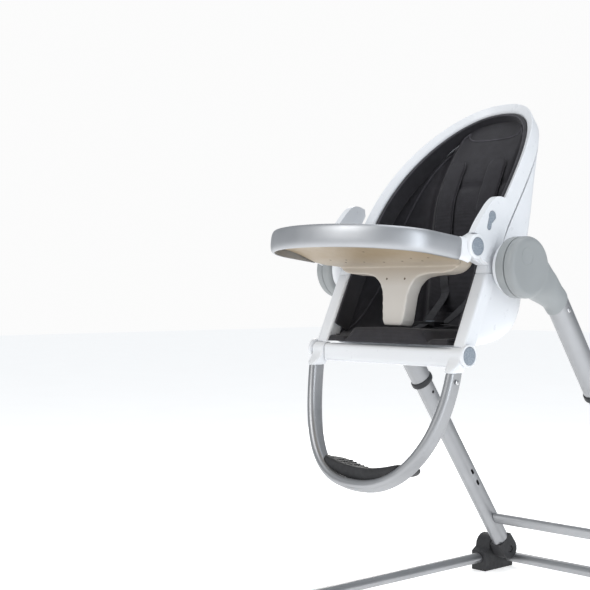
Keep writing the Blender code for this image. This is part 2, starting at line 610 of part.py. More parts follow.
def build_tray(pivot, buttons):
    """Silver rim, dished top, underside moulding with the crotch post, end caps and buttons."""
    centre = TRAY_PIVOT + Vector((0, SEAT_Y, 0))
    tilt = -TRAY_TILT
    outer, inner = tray_plan(0.0, ARM_START), tray_plan(BAND, ARM_START)
    rings = []
    for (xo, yo), (xi, yi) in zip(outer, inner):
        out = Vector((xo - xi, yo - yi, 0)).normalized()
        edge = Vector((xo, yo, 0))
        profile = ((0.0, TRAY_LOW + 0.006), (0.0, TRAY_HIGH - 0.006), (0.003, TRAY_HIGH),
                   (BAND, TRAY_HIGH), (BAND, TRAY_LOW), (0.003, TRAY_LOW))
        rings.append([edge - out * d + Vector((0, 0, h)) for d, h in profile])
    place("tray_rim", loft(rings), "silver_tube", pivot, centre, tilt)

    def dish_outline(inset):
        plan = tray_plan(BAND + 0.0004 + inset, 0.050)
        back = [(-0.150 + inset, -0.0125 - inset), (0.150 - inset, -0.0125 - inset)]
        return plan + back
    heights = ((0.0, -0.016), (0.0, 0.008), (0.010, 0.008), (0.018, -0.004))
    dish = loft([[(x, y, h) for x, y in dish_outline(inset)] for inset, h in heights])
    place("tray_dish", dish, "white_plastic", pivot, centre, tilt)

    post, wing = 0.030, 0.160
    arch = resample([(post, -0.112), (post + 0.003, -0.087), (post + 0.011, -0.067), (0.057, -0.0535),
                     (0.084, -0.048), (wing, -0.046)], 3)
    right = [(0.024, POST_FOOT)] + [tuple(p) for p in arch] + [(wing, -0.012)]
    outline = right + [(-x, z) for x, z in reversed(right)]
    moulding = prism_y(outline, POST_FRONT, POST_BACK)
    place("tray_crotch_post", moulding, "white_plastic", pivot, centre, tilt)

    for label, side in SIDES:
        cap_outline = [(PIVOT_BOSS_R * math.cos(t), PIVOT_BOSS_R * math.sin(t))
                       for t in (math.radians(-130 + 260 * i / 16) for i in range(17))]
        arm_end = -ARM_START + GAP
        cap_outline += [(arm_end, TRAY_HIGH), (arm_end, TRAY_LOW + 0.002)]
        cap = place(f"tray_end_cap_{label}", prism_x(cap_outline, side * CAP_IN_X, side * CAP_OUT_X),
                    "white_plastic", pivot, centre, tilt)
        stub = disc_x((0, 0, 0), [(side * (WING_X + 0.002), PIN_R), (side * (CAP_IN_X + 0.004), PIN_R)], 16)
        boolean(cap, stub, "UNION")
        floor = CAP_OUT_X + BUTTON_PROUD - BUTTON_THICK - PRESS_ROOM
        well = disc_x((0, 0, 0), [(side * floor, BUTTON_R + GAP), (side * 0.220, BUTTON_R + GAP)], 24)
        boolean(cap, well, "DIFFERENCE")
        place_round_button(f"tray_button_{label}", TRAY_PIVOT, side, CAP_OUT_X, buttons[label])


def place_round_button(name, centre, side, face_x, pivot):
    """Round push button with a soft edge, standing a little proud of its boss."""
    out = face_x + BUTTON_PROUD
    profile = [(side * (out - BUTTON_THICK), BUTTON_R), (side * (out - 0.0010), BUTTON_R),
               (side * out, BUTTON_R - 0.0020)]
    place(name, disc_x(centre, profile, 24), "button_grey", pivot)


# ---------------------------------------------------------------- footrest
def foot_loop_rings(grow=0.0):
    """Rings of the footrest loop's flat-oval tube, grown evenly by grow."""
    start = math.acos(((FOOT_TOP_Z - FITTING_Z) / (FOOT_TOP_Z - FOOT_BOTTOM_Z)) ** (FOOT_POWER / 2))
    angles = [start * (1 - i / 11) for i in range(11)]
    half = [foot_loop_station(a) for a in angles]
    path = half + [foot_loop_station(0.0)] + [Vector((-p.x, p.y, p.z)) for p in reversed(half)]
    section = stadium(FOOT_LOOP[0] + grow, FOOT_LOOP[1] + grow)
    rings = []
    for i, point in enumerate(path):
        along = path[min(i + 1, len(path) - 1)] - path[max(i - 1, 0)]
        below = FITTING_Z - point.z
        back = Vector((0.0, 1.0, -(FOOT_SLOPE + 2 * FOOT_BOW * below))).normalized()
        if i in (0, len(path) - 1):
            along = Vector((0, 0, -1 if i == 0 else 1))
            back = Vector((0, 1, 0))
        outward = along.cross(back).normalized()
        rings.append([point + outward * a + back * b for a, b in section])
    return rings


def build_footrest(pivot, buttons):
    """Fittings, silver loop, charcoal plate, screws and release buttons."""
    place("footrest_loop", loft(foot_loop_rings()), "silver_tube", pivot)
    station = FOOT_PIVOT.z
    for label, side in SIDES:
        low = [(side * (TUBE_X + a), FITTING_Y + b, FITTING_Z + GAP)
               for a, b in rounded_box(0.0105, 0.0175, 0.008)]
        middle = [(side * (TUBE_X + a), FOOT_PIVOT.y - 0.006 + b, station - 0.014)
                  for a, b in rounded_box(0.015, 0.0150, 0.005)]
        high = [(side * (TUBE_X + a), FOOT_PIVOT.y + b, station)
                for a, b in rounded_box(0.015, 0.0145, 0.005)]
        fitting = place(f"footrest_fitting_{label}", loft([low, middle, high]), "white_plastic", pivot)
        cheek = TUBE_HALF - 0.0004
        knuckle = disc_x(FOOT_PIVOT, [(side * (TUBE_X - cheek), 0.0152), (side * (TUBE_X + cheek), 0.0152)])
        boolean(fitting, knuckle, "UNION")
        face = TUBE_X + TUBE_HALF + 0.0070
        skin = TUBE_X + TUBE_HALF + GAP
        boss = disc_x(FOOT_PIVOT, [(side * (TUBE_X + 0.010), 0.0140), (side * skin, 0.0140),
                                   (side * skin, 0.0205), (side * face, 0.0205)], 24)
        boolean(fitting, boss, "UNION")
        floor = face + BUTTON_PROUD - BUTTON_THICK - PRESS_ROOM
        well = disc_x(FOOT_PIVOT, [(side * floor, BUTTON_R + GAP), (side * 0.220, BUTTON_R + GAP)], 24)
        boolean(fitting, well, "DIFFERENCE")
        pin = disc_x(FOOT_PIVOT, [(side * 0.150, PIN_R + GAP), (side * (TUBE_X - 0.0017), PIN_R + GAP)], 16)
        boolean(fitting, pin, "DIFFERENCE")
        place_round_button(f"footrest_button_{label}", FOOT_PIVOT, side, face, buttons[label])
        screw_z = FITTING_Z - 0.016
        spot = (0, foot_loop_y(FITTING_Z - screw_z), screw_z)
        seat_x = side * (TUBE_X + FOOT_LOOP[0] + 0.0012)
        screw = disc_x(spot, [(seat_x, 0.0042), (seat_x + side * 0.0016, 0.0034)], 12)
        place(f"footrest_screw_{label}", screw, "steel", pivot)
    bottom = []
    inset = FOOT_LOOP[0] + 0.0004
    for i in range(17):
        angle = math.radians(34) * (i / 8 - 1)
        spot = foot_loop_station(abs(angle), inset)
        bottom.append((math.copysign(spot.x, angle), spot.z + inset * 0.02))
    reach = bottom[-1][0] - 0.004
    top = [(x, plate_top(x)) for x in (reach * (1 - i / 6) for i in range(13))]
    front = [(x, PLATE_FRONT, z) for x, z in bottom + top]
    back = [(x, PLATE_BACK, min(z, plate_top(x) - PLATE_FALL - PLATE_EDGE)) for x, z in bottom]
    back += [(x, PLATE_BACK, z - PLATE_FALL) for x, z in top]
    plate = place("footrest_plate", loft([front, back]), "charcoal_plastic", pivot)
    boolean(plate, loft(foot_loop_rings(0.0004)), "DIFFERENCE")


# ---------------------------------------------------------------- liner and harness
def pad_between(points, half_width, thick):
    """Pad along a (Y, Z) line; thickness grows towards the child, to the left of the line."""
    path = [Vector((0, y, z)) for y, z in points]
    rings = []
    for i, point in enumerate(path):
        along = (path[min(i + 1, len(path) - 1)] - path[max(i - 1, 0)]).normalized()
        inward = along.cross(Vector((1, 0, 0)))
        half = half_width(point)
        section = rounded_box(half, abs(thick) / 2, abs(thick) * 0.35, 1)
        middle = point + inward * thick / 2
        rings.append([middle + Vector((1, 0, 0)) * a + inward * b for a, b in section])
    return loft(rings)


def build_liner(pivot):
    """Plain closed pads: back, seat and the two sides."""
    back = pad_between(resample(BACK_LINE, 2),
                       lambda p: BACK_HALF - 0.055 * max(0.0, (p.z - 0.90) / 0.11) ** 2, -PAD_THICK)
    place("liner_back", back, "fabric", pivot)
    seat = pad_between([(-0.012, 0.5815), (0.060, 0.5815), (0.110, 0.5825), (0.148, 0.5860)],
                       lambda p: SEAT_PAD_HALF - 0.010 * max(0.0, p.y / 0.15), -0.016)
    place("liner_seat", seat, "fabric", pivot)
    for label, side in SIDES:
        outline = [(0.070, 0.625), (0.160, 0.634), (0.190, 0.690), (0.206, 0.790), (0.214, 0.840),
                   (0.180, 0.845), (0.130, 0.760), (0.098, 0.690)]
        flank = prism_x(outline, side * 0.138, side * 0.148)
        place(f"liner_side_{label}", flank, "fabric", pivot)


def back_front(z):
    """Y just in front of the back pad at height z."""
    for low, high in zip(BACK_LINE, BACK_LINE[1:]):
        if z <= high[1]:
            break
    slope = (high[0] - low[0]) / (high[1] - low[1])
    return low[0] + slope * (z - low[1]) - PAD_THICK * math.hypot(1.0, slope) - 0.0030


def strap(points, widths, thick):
    """Flat band along 3-D points with a half-width at each, level with the seat."""
    path = [Vector(p) for p in points]
    rings = []
    for i, point in enumerate(path):
        along = (path[min(i + 1, len(path) - 1)] - path[max(i - 1, 0)]).normalized()
        across = Vector((1, 0, 0)) - along * along.x
        across.normalize()
        proud = across.cross(along).normalized()
        half = widths[i]
        rings.append([point + across * a + proud * b for a, b in ((half, -thick), (half, 0),
                                                                  (-half, 0), (-half, -thick))])
    return loft(rings)


def build_harness(seat, button):
    """Five-point harness laid on the liner: shoulder pads, waist and crotch straps, buckle."""
    for label, side in SIDES:
        drop = ((0.052, 0.938), (0.053, 0.900), (0.053, 0.860), (0.051, 0.800), (0.046, 0.726),
                (0.045, 0.716), (0.041, 0.680))
        run = [(x, back_front(z), z) for x, z in drop]
        run += [(0.033, 0.170, 0.638), (0.025, 0.144, 0.6180)]
        widths = [0.021 if z > 0.72 else 0.011 for _, _, z in run]
        shoulder = strap([(side * x, y, z) for x, y, z in run], widths, 0.004)
        place(f"shoulder_harness_{label}", shoulder, "fabric", seat)
        band = ((-0.010, 0.0), (0.010, 0.0), (0.010, 0.002), (-0.010, 0.002))
        route = ((0.130, 0.150, 0.612), (0.090, 0.140, 0.604), (0.029, 0.124, 0.6065))
        waist = loft([[(side * x, y + dy, z + dz) for dy, dz in band] for x, y, z in route])
        place(f"waist_strap_{label}", waist, "webbing", seat)
    run = [(0, 0.040, 0.6005), (0, 0.062, 0.6005), (0, 0.084, 0.6025), (0, 0.100, 0.6060)]
    crotch = strap(run, [0.011] * len(run), 0.002)
    place("crotch_strap", crotch, "webbing", seat)
    body = [(0.026, 0.101), (0.026, 0.128), (0.018, 0.1405), (-0.018, 0.1405), (-0.026, 0.128),
            (-0.026, 0.101)]
    buckle = loft([[(x, y, z) for x, y in body] for z in (0.6035, 0.6140)])
    case = place("buckle", buckle, "black_plastic", seat)
    centre = Vector((0, 0.119, 0))
    well = loft([[(centre.x + (0.0095 + GAP) * math.cos(t), centre.y + (0.0095 + GAP) * math.sin(t), z)
                  for t in (2 * math.pi * i / 20 for i in range(20))] for z in (0.6075, 0.6200)])
    boolean(case, well, "DIFFERENCE")
    red = loft([[(centre.x + 0.0095 * math.cos(t), centre.y + 0.0095 * math.sin(t), z)
                 for t in (2 * math.pi * i / 20 for i in range(20))] for z in (0.6110, 0.6150)])
    place("buckle_button", red, "button_grey", button)


# ---------------------------------------------------------------- assembly
def main():
    """Clear the scene and build every body on its pivot."""
    for old in list(bpy.data.objects):
        bpy.data.objects.remove(old, do_unlink=True)
    datum = Vector((0, SEAT_Y, 0))
    base = pivot_empty("base_pivot", (0, 0, 0))
    legs = pivot_empty("legs_pivot", KNUCKLE + datum)
    carriage = pivot_empty("carriage_pivot", KNUCKLE + datum)
    hub = pivot_empty("hub_pivot", HUB + datum)
    seat = pivot_empty("seat_pivot", HUB + datum)
    tray = pivot_empty("tray_pivot", TRAY_PIVOT + datum)
    footrest = pivot_empty("footrest_pivot", FOOT_PIVOT + datum)
    buckle = pivot_empty("buckle_button_pivot", Vector((0, 0.119, 0.613)) + datum)

    def button_pivots(kind, centre, reach):
        return {label: pivot_empty(f"{kind}_{label}_pivot", centre + datum + Vector((side * reach, 0, 0)))
                for label, side in SIDES}

    build_base(base)
    build_legs(legs, KNUCKLE + datum)
    build_carriage(carriage, KNUCKLE + datum)
    build_hub(hub)
    build_rim(seat)
    build_side_tubes(seat)
    build_shell(seat)
    build_front_lip(seat)
    build_wings(seat, button_pivots("wing_button", Vector((0, 0.068, 0.804)), WING_OUT_X))
    build_bosses(seat)
    build_liner(seat)
    build_harness(seat, buckle)
    build_tray(tray, button_pivots("tray_button", TRAY_PIVOT, CAP_OUT_X))
    build_footrest(footrest, button_pivots("footrest_button", FOOT_PIVOT, TUBE_X + TUBE_HALF))


main()
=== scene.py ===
"""Looks of the baby high chair: moulded shells, silver tubes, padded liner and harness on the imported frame.

Metres in the frame's own axes: +Z up, the child faces -Y, +X is the child's left.
"""
import json
import math

import bmesh
import bpy
import numpy as np
from mathutils import Matrix, Vector
from mathutils.bvhtree import BVHTree


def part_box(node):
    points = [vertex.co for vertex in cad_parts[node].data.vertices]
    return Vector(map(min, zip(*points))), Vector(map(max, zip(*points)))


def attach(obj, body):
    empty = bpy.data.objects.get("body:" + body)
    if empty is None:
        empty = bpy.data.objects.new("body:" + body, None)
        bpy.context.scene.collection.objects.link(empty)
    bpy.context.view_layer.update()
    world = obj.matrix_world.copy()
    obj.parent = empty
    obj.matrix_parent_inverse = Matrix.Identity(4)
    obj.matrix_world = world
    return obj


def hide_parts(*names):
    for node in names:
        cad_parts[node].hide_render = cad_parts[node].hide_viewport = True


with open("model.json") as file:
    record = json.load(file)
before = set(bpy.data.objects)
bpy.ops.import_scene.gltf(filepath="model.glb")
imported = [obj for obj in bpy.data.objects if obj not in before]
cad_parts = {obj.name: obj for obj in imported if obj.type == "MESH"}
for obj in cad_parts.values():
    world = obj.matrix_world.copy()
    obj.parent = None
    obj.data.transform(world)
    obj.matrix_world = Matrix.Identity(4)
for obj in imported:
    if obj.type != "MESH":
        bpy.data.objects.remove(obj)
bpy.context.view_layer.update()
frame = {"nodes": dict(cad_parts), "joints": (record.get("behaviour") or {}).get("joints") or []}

# ---------------------------------------------------------------- places, read from the frame
JOINTS = {joint["name"]: joint for joint in frame["joints"]}
HUB = Vector(JOINTS["recline"]["pos_m"])
TRAY = Vector(JOINTS["tray_lift"]["pos_m"])
FOOT = Vector(JOINTS["footrest_swing"]["pos_m"])
KNUCKLE = Vector(JOINTS["legs_fold"]["pos_m"])
LEG = Vector(JOINTS["height_slide"]["axis"]).normalized()
LEG_FRONT = Vector((0.0, -LEG.z, LEG.y))
TUBE_LOW, TUBE_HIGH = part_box("side_tube_left")
SIDES = (("left", 1), ("right", -1))

# driving dimensions of the loop, shell, tray and footrest, metres
SEAT_Y = HUB.y - 0.105                      # world Y of the seat's own datum
SEAM_Z, TRAY_SEAM_Z = TUBE_LOW.z, TUBE_HIGH.z
TUBE_X, TUBE_HALF, TUBE_DEPTH = 0.180, 0.015, 0.029
LOOP_FRONT_Y, LOOP_LEAN = TUBE_LOW.y, math.radians(25.0)
BEND_Z, BEND = 0.744, 1.237
RIM_HALF, RIM_DEPTH, RIM_BEVEL = 0.008, 0.039, 0.011
ARCH_WIDTH, ARCH_FOOT_Z, ARCH_TOP_Z, ARCH_POWER = 0.1665, 0.818, 1.0635, 2.31
SHELL_WALL = 0.004
TRAY_TILT = math.radians(6.8)
TRAY_HALF, TRAY_STRAIGHT, TRAY_NOSE = 0.195, 0.110, 0.1246
TRAY_LOW, TRAY_HIGH, BAND, ARM_START = -0.029, 0.013, 0.009, 0.036
UPPER_TUBE, LOWER_TUBE, LOWER_BORE = (0.020, 0.025), (0.0172, 0.0222), (0.0150, 0.0200)
LEG_X = 0.2285
HUB_R, DISC_X, COVER_X, COVER_OUT_X = 0.057, 0.2150, 0.2370, 0.2580
BUTTON_R = 0.0165
FOOT_LOOP = (0.0095, 0.017)
FOOT_HALF, FOOT_TOP_Z, FOOT_BOTTOM_Z, FOOT_POWER = 0.1815, 0.5761, 0.3099, 2.37
FITTING_Y, FITTING_Z = SEAT_Y - 0.0205, 0.526
FOOT_SLOPE, FOOT_BOW = 0.1766, 0.607
GAP = 0.0003


# ---------------------------------------------------------------- materials
class Nodes:
    """Small helper that builds one node material, on the piece's own coordinates."""

    def __init__(self, name):
        self.material = bpy.data.materials.new(name)
        self.material.use_nodes = True
        self.tree = self.material.node_tree
        self.shader = self.tree.nodes["Principled BSDF"]
        self.place = self.add("ShaderNodeTexCoord").outputs["Object"]

    def add(self, kind, values=None, **settings):
        """New node with its settings, and the values of its inputs."""
        node = self.tree.nodes.new(kind)
        for key, value in settings.items():
            setattr(node, key, value)
        for key, value in (values or {}).items():
            node.inputs[key].default_value = value
        return node

    def link(self, source, target):
        self.tree.links.new(source, target)

    def noise(self, scale, detail=2.0):
        noise = self.add("ShaderNodeTexNoise", {"Scale": scale, "Detail": detail})
        self.link(self.place, noise.inputs["Vector"])
        return noise.outputs["Fac"]

    def ramp(self, factor, low, high, start=0.35, end=0.65):
        ramp = self.add("ShaderNodeValToRGB")
        for element, position, colour in zip(ramp.color_ramp.elements, (start, end), (low, high)):
            element.position = position
            element.color = (*colour, 1.0)
        self.link(factor, ramp.inputs["Fac"])
        return ramp.outputs["Color"]

    def spread(self, factor, low, high):
        """Stretch the middle of a factor's range over low to high."""
        values = {"From Min": 0.3, "From Max": 0.7, "To Min": low, "To Max": high}
        mapped = self.add("ShaderNodeMapRange", values)
        self.link(factor, mapped.inputs["Value"])
        return mapped.outputs["Result"]

    def bump(self, height, distance, strength=1.0):
        bump = self.add("ShaderNodeBump", {"Distance": distance, "Strength": strength})
        self.link(height, bump.inputs["Height"])
        self.link(bump.outputs["Normal"], self.shader.inputs["Normal"])

    def colour(self, output):
        self.link(output, self.shader.inputs["Base Color"])

    def roughness(self, output):
        self.link(output, self.shader.inputs["Roughness"])


WHITE_COLOUR = (0.80, 0.815, 0.84)


def shade(colour, factor):
    return tuple(min(1.0, channel * factor) for channel in colour)


def plastic(name, colour, rough, grain=2600.0, depth=0.000012, contrast=0.012):
    """Moulded plastic: faint mottling, fine grain and slightly uneven gloss."""
    nodes = Nodes(name)
    broad = nodes.noise(14.0, 3.0)
    nodes.colour(nodes.ramp(broad, shade(colour, 1 - contrast), shade(colour, 1 + contrast)))
    nodes.roughness(nodes.spread(nodes.noise(60.0, 4.0), rough - 0.03, rough + 0.04))
    nodes.bump(nodes.noise(grain, 1.0), depth, 0.4)
    return nodes.material


def speckled(name, colour, fleck, rough):
    """Grained button plastic with light and dark flecks."""
    nodes = Nodes(name)
    nodes.colour(nodes.ramp(nodes.noise(700.0, 3.0), colour, fleck, 0.42, 0.60))
    nodes.roughness(nodes.spread(nodes.noise(300.0, 2.0), rough - 0.06, rough + 0.08))
    nodes.bump(nodes.noise(1100.0, 2.0), 0.00012, 0.8)
    return nodes.material


def underside_painted_shade():
    """Tray moulding: white plastic with painted shade, tan under the panel and paler down the post; plain
    white where it faces up.
    """
    nodes = Nodes("tray_underside_painted_shade")
    axes = nodes.add("ShaderNodeSeparateXYZ")
    nodes.link(nodes.place, axes.inputs["Vector"])
    height = nodes.add("ShaderNodeMapRange", {"From Min": TRAY.z - 0.075, "From Max": TRAY.z - 0.010})
    nodes.link(axes.outputs["Z"], height.inputs["Value"])
    cloud = nodes.add("ShaderNodeMath", {1: 0.12}, operation="MULTIPLY_ADD")
    nodes.link(nodes.noise(16.0, 3.0), cloud.inputs[0])
    nodes.link(height.outputs["Result"], cloud.inputs[2])
    # painted shade: tan under the panel, fading paler down the post, on plastic that is white
    tan = nodes.ramp(cloud.outputs[0], (0.70, 0.67, 0.63), (0.36, 0.28, 0.185), 0.10, 1.0)
    facing = nodes.add("ShaderNodeSeparateXYZ")
    nodes.link(nodes.place.node.outputs["Normal"], facing.inputs["Vector"])
    upward = nodes.spread(facing.outputs["Z"], 0.0, 1.0)
    first, second, result = 6, 7, 2             # the colour sockets of a mix node
    mix = nodes.add("ShaderNodeMix", {second: (*WHITE_COLOUR, 1.0)}, data_type="RGBA")
    nodes.link(upward, mix.inputs["Factor"])
    nodes.link(tan, mix.inputs[first])
    nodes.colour(mix.outputs[result])
    nodes.roughness(nodes.spread(nodes.noise(60.0, 4.0), 0.40, 0.50))
    return nodes.material


def silver(name, colour, rough, metallic):
    """Satin silver finish: metal flake, soft cloudiness and a little wear."""
    nodes = Nodes(name)
    cloud = nodes.noise(9.0, 3.0)
    nodes.colour(nodes.ramp(cloud, shade(colour, 0.95), shade(colour, 1.04)))
    nodes.roughness(nodes.spread(nodes.noise(30.0, 3.0), rough - 0.03, rough + 0.04))
    nodes.bump(nodes.noise(3000.0, 1.0), 0.000004, 0.3)
    nodes.shader.inputs["Metallic"].default_value = metallic
    return nodes.material


def woven(name, colour, light, pitch=0.0011, depth=0.00035, rough=0.88):
    """Plain weave: crossed threads, slubs and a soft nap."""
    nodes = Nodes(name)
    waves = []
    for direction in ("X", "Z", "Y"):
        wave = nodes.add("ShaderNodeTexWave", {"Scale": 0.314 / pitch, "Distortion": 1.2, "Detail": 1.0},
                         wave_type="BANDS", bands_direction=direction)
        nodes.link(nodes.place, wave.inputs["Vector"])
        waves.append(wave.outputs["Fac"])
    crossed = nodes.add("ShaderNodeMath", operation="MULTIPLY")
    nodes.link(waves[0], crossed.inputs[0])
    nodes.link(waves[1], crossed.inputs[1])
    threads = nodes.add("ShaderNodeMath", operation="MAXIMUM")
    nodes.link(crossed.outputs[0], threads.inputs[0])
    nodes.link(waves[2], threads.inputs[1])
    slub = nodes.noise(55.0, 4.0)
    mixed = nodes.add("ShaderNodeMath", {1: 0.35}, operation="MULTIPLY_ADD")
    nodes.link(threads.outputs[0], mixed.inputs[0])
    nodes.link(slub, mixed.inputs[2])
    nodes.colour(nodes.ramp(mixed.outputs[0], colour, light, 0.40, 0.95))
    nodes.bump(threads.outputs[0], depth, 0.6)
    nodes.shader.inputs["Roughness"].default_value = rough
    nodes.shader.inputs["Sheen Weight"].default_value = 0.14
    nodes.shader.inputs["Sheen Roughness"].default_value = 0.5
    return nodes.material


def studded(name, colour, rough):
    """Dark moulded rubbery plastic with a fine leathery grain."""
    nodes = Nodes(name)
    nodes.colour(nodes.ramp(nodes.noise(40.0, 4.0), shade(colour, 0.85), shade(colour, 1.3)))
    cells = nodes.add("ShaderNodeTexVoronoi", {"Scale": 420.0})
    nodes.link(nodes.place, cells.inputs["Vector"])
    nodes.bump(cells.outputs["Distance"], 0.00025, 0.7)
    nodes.roughness(nodes.spread(nodes.noise(120.0, 2.0), rough - 0.08, rough + 0.08))
    return nodes.material


# each look is a material and the slot it stands for
WHITE = (plastic("white_moulding", WHITE_COLOUR, 0.30, 2600.0, 0.000005, 0.008), "white_plastic")
GREY = (plastic("hub_grey", (0.30, 0.315, 0.32), 0.44, 2200.0, 0.00003, 0.03), "grey_plastic")
BUTTON = (speckled("button_speckle", (0.20, 0.235, 0.28), (0.34, 0.38, 0.43), 0.45), "button_grey")
SILVER = (silver("satin_silver", (0.395, 0.400, 0.412), 0.40, 0.90), "silver_tube")
# same satin silver as the tubes, painted lighter on the tray band as painted light
BAND_SILVER_PAINTED_LIGHT = (silver("band_silver_painted_lighter", (0.48, 0.49, 0.51), 0.46, 0.88), "silver_tube")
STEEL = (silver("screw_steel", (0.62, 0.62, 0.63), 0.22, 1.0), "steel")
BLACK = (plastic("black_nylon", (0.018, 0.019, 0.022), 0.42, 1600.0, 0.00004, 0.08), "black_plastic")
# white moulding with painted shade on its underside
UNDERSIDE_PAINTED_SHADE = (underside_painted_shade(), "white_plastic")
CHARCOAL = (studded("charcoal_moulding", (0.022, 0.022, 0.024), 0.60), "charcoal_plastic")
FABRIC = (woven("liner_weave", (0.011, 0.010, 0.013), (0.025, 0.023, 0.029)), "fabric")
PIPING = (woven("piping_weave", (0.030, 0.028, 0.034), (0.07, 0.066, 0.078), 0.0008), "fabric")
WEBBING = (woven("webbing_weave", (0.020, 0.020, 0.023), (0.055, 0.054, 0.060), 0.0016, 0.0005), "webbing")
# flat brown discs painted as the shade inside the vent holes
VENT_HOLE_SHADE = (plastic("vent_painted_shade", (0.16, 0.13, 0.10), 0.8), "white_plastic")


# ---------------------------------------------------------------- outlines
def x_reach(node):
    """Nearest and furthest distance of a paired node from the plane of symmetry."""
    ends = sorted(abs(corner.x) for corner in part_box(node))
    return ends[0], ends[-1]


def oval(half_a, half_b, count=64):
    steps = [2 * math.pi * i / count for i in range(count)]
    return [(half_a * math.cos(t), half_b * math.sin(t)) for t in steps]


def circle(radius, count=64):
    return oval(radius, radius, count)


def rounded(points, radius, steps=5):
    """Polygon with its corners turned into curves; radius is one value or one for each corner."""
    radii = radius if isinstance(radius, (list, tuple)) else [radius] * len(points)
    result = []
    for i, corner in enumerate(points):
        corner = Vector(corner)
        before, after = Vector(points[i - 1]), Vector(points[(i + 1) % len(points)])
        start = corner + (before - corner) * min(0.49, radii[i] / (before - corner).length)
        end = corner + (after - corner) * min(0.49, radii[i] / (after - corner).length)
        for k in range(steps + 1):
            t = k / steps
            result.append(tuple(start * (1 - t) ** 2 + corner * 2 * t * (1 - t) + end * t * t))
    return result


def rounded_box(half_a, half_b, radius, steps=5):
    corners = [(half_a, half_b), (-half_a, half_b), (-half_a, -half_b), (half_a, -half_b)]
    return rounded(corners, radius, steps)


def quarter_round(x, radius, run, drop, steps, first=0):
    """Profile points from (x, radius) on a quarter turn: outward by run and inward by drop."""
    turns = (math.pi / 2 * i / steps for i in range(first, steps + 1))
    return [(x + run * math.sin(t), radius - drop * (1 - math.cos(t))) for t in turns]


def flat_oval(half_a, half_b, count=14):
    """Flat oval, the long way along b."""
    straight = half_b - half_a
    upper = [math.pi * i / count for i in range(count + 1)]
    top = [(half_a * math.cos(t), straight + half_a * math.sin(t)) for t in upper]
    return top + [(-a, -b) for a, b in top]


def spline(points, per_span=8):
    """Catmull-Rom curve through points."""
    ends = [points[0]] + list(points) + [points[-1]]
    curve = []
    for i in range(len(points) - 1):
        p0, p1, p2, p3 = (Vector(p) for p in ends[i:i + 4])
        for k in range(per_span):
            t = k / per_span
            curve.append(0.5 * (2 * p1 + (p2 - p0) * t + (2 * p0 - 5 * p1 + 4 * p2 - p3) * t * t
                                + (3 * p1 - p0 - 3 * p2 + p3) * t ** 3))
    return curve + [Vector(points[-1])]


def step_at(path, i):
    """Way between the neighbours of a path's point."""
    return path[min(i + 1, len(path) - 1)] - path[max(i - 1, 0)]


def smooth_step(value, low, high):
    t = min(1.0, max(0.0, (value - low) / (high - low)))
    return t * t * (3 - 2 * t)


# ---------------------------------------------------------------- meshes
def loft(rings, closed=False, caps=True):
    """Vertices and faces that skin a list of rings."""
    count = len(rings[0])
    points = [tuple(p) for ring in rings for p in ring]
    faces = []
    for i in range(len(rings) if closed else len(rings) - 1):
        a, b = i * count, (i + 1) % len(rings) * count
        for j in range(count):
            k = (j + 1) % count
            faces.append((a + j, a + k, b + k, b + j))
    if caps and not closed:
        faces.append(tuple(range(count)))
        faces.append(tuple(range((len(rings) - 1) * count, len(rings) * count)))
    return points, faces


def eased_ends(rings, size=0.0012):
    """Rings with a small chamfer added at both ends, so that a seam shows where pieces meet."""
    def centre(ring):
        return sum((Vector(p) for p in ring), Vector()) / len(ring)

    def eased(first, second):
        middle = centre(first)
        along = (centre(second) - middle).normalized() * size
        arms = [Vector(p) - middle for p in first]
        tip = [middle + arm * (1 - size / max(1e-6, arm.length)) for arm in arms]
        return [tip, [Vector(p) + along for p in first]]

    start, end = eased(rings[0], rings[1]), eased(rings[-1], rings[-2])
    return start + list(rings[1:-1]) + end[::-1]


def joined(shapes):
    """One shape made of several that stay apart."""
    points, faces = [], []
    for more_points, more_faces in shapes:
        faces += [tuple(len(points) + v for v in face) for face in more_faces]
        points += more_points
    return points, faces


def new_mesh(name, shape):
    """Mesh of a shape's vertices and faces, with the normals outward."""
    points, faces = shape
    mesh = bpy.data.meshes.new(name)
    mesh.from_pydata([tuple(p) for p in points], [], faces)
    bm = bmesh.new()
    bm.from_mesh(mesh)
    bmesh.ops.recalc_face_normals(bm, faces=bm.faces)
    bm.to_mesh(mesh)
    bm.free()
    return mesh


def new_object(name, mesh):
    result = bpy.data.objects.new(name, mesh)
    bpy.context.scene.collection.objects.link(result)
    return result


def piece(name, shape, look, body, nodes=(), angle=40.0, bevel=0.0, segments=3):
    """A visible piece that rides a body and stands for the CAD nodes named."""
    return finish_piece(name, new_mesh(name, shape), look, body, nodes, angle, bevel, segments)


def round_edges(result, width, segments, limit, harden=True):
    """Bevel the edges that are sharper than a limit in degrees."""
    modifier = result.modifiers.new("edge", "BEVEL")
    modifier.width = width
    modifier.segments = segments
    modifier.limit_method = "ANGLE"
    modifier.angle_limit = math.radians(limit)
    modifier.harden_normals = harden


def finish_piece(name, mesh, look, body, nodes, angle, bevel, segments):
    """Shade a mesh, round its edges, put it on its body and hide the CAD nodes it stands for."""
    material, slot = look
    mesh.materials.clear()
    mesh.materials.append(material)
    result = reshade(new_object(name, mesh), angle)
    if bevel:
        round_edges(result, bevel, segments, 35)
    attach(result, body)
    if nodes:
        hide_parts(*nodes)
    return result


def apply_modifiers(result):
    """Replace a piece's mesh with the one its modifiers give."""
    graph = bpy.context.evaluated_depsgraph_get()
    mesh = bpy.data.meshes.new_from_object(result.evaluated_get(graph))
    result.modifiers.clear()
    result.data = mesh


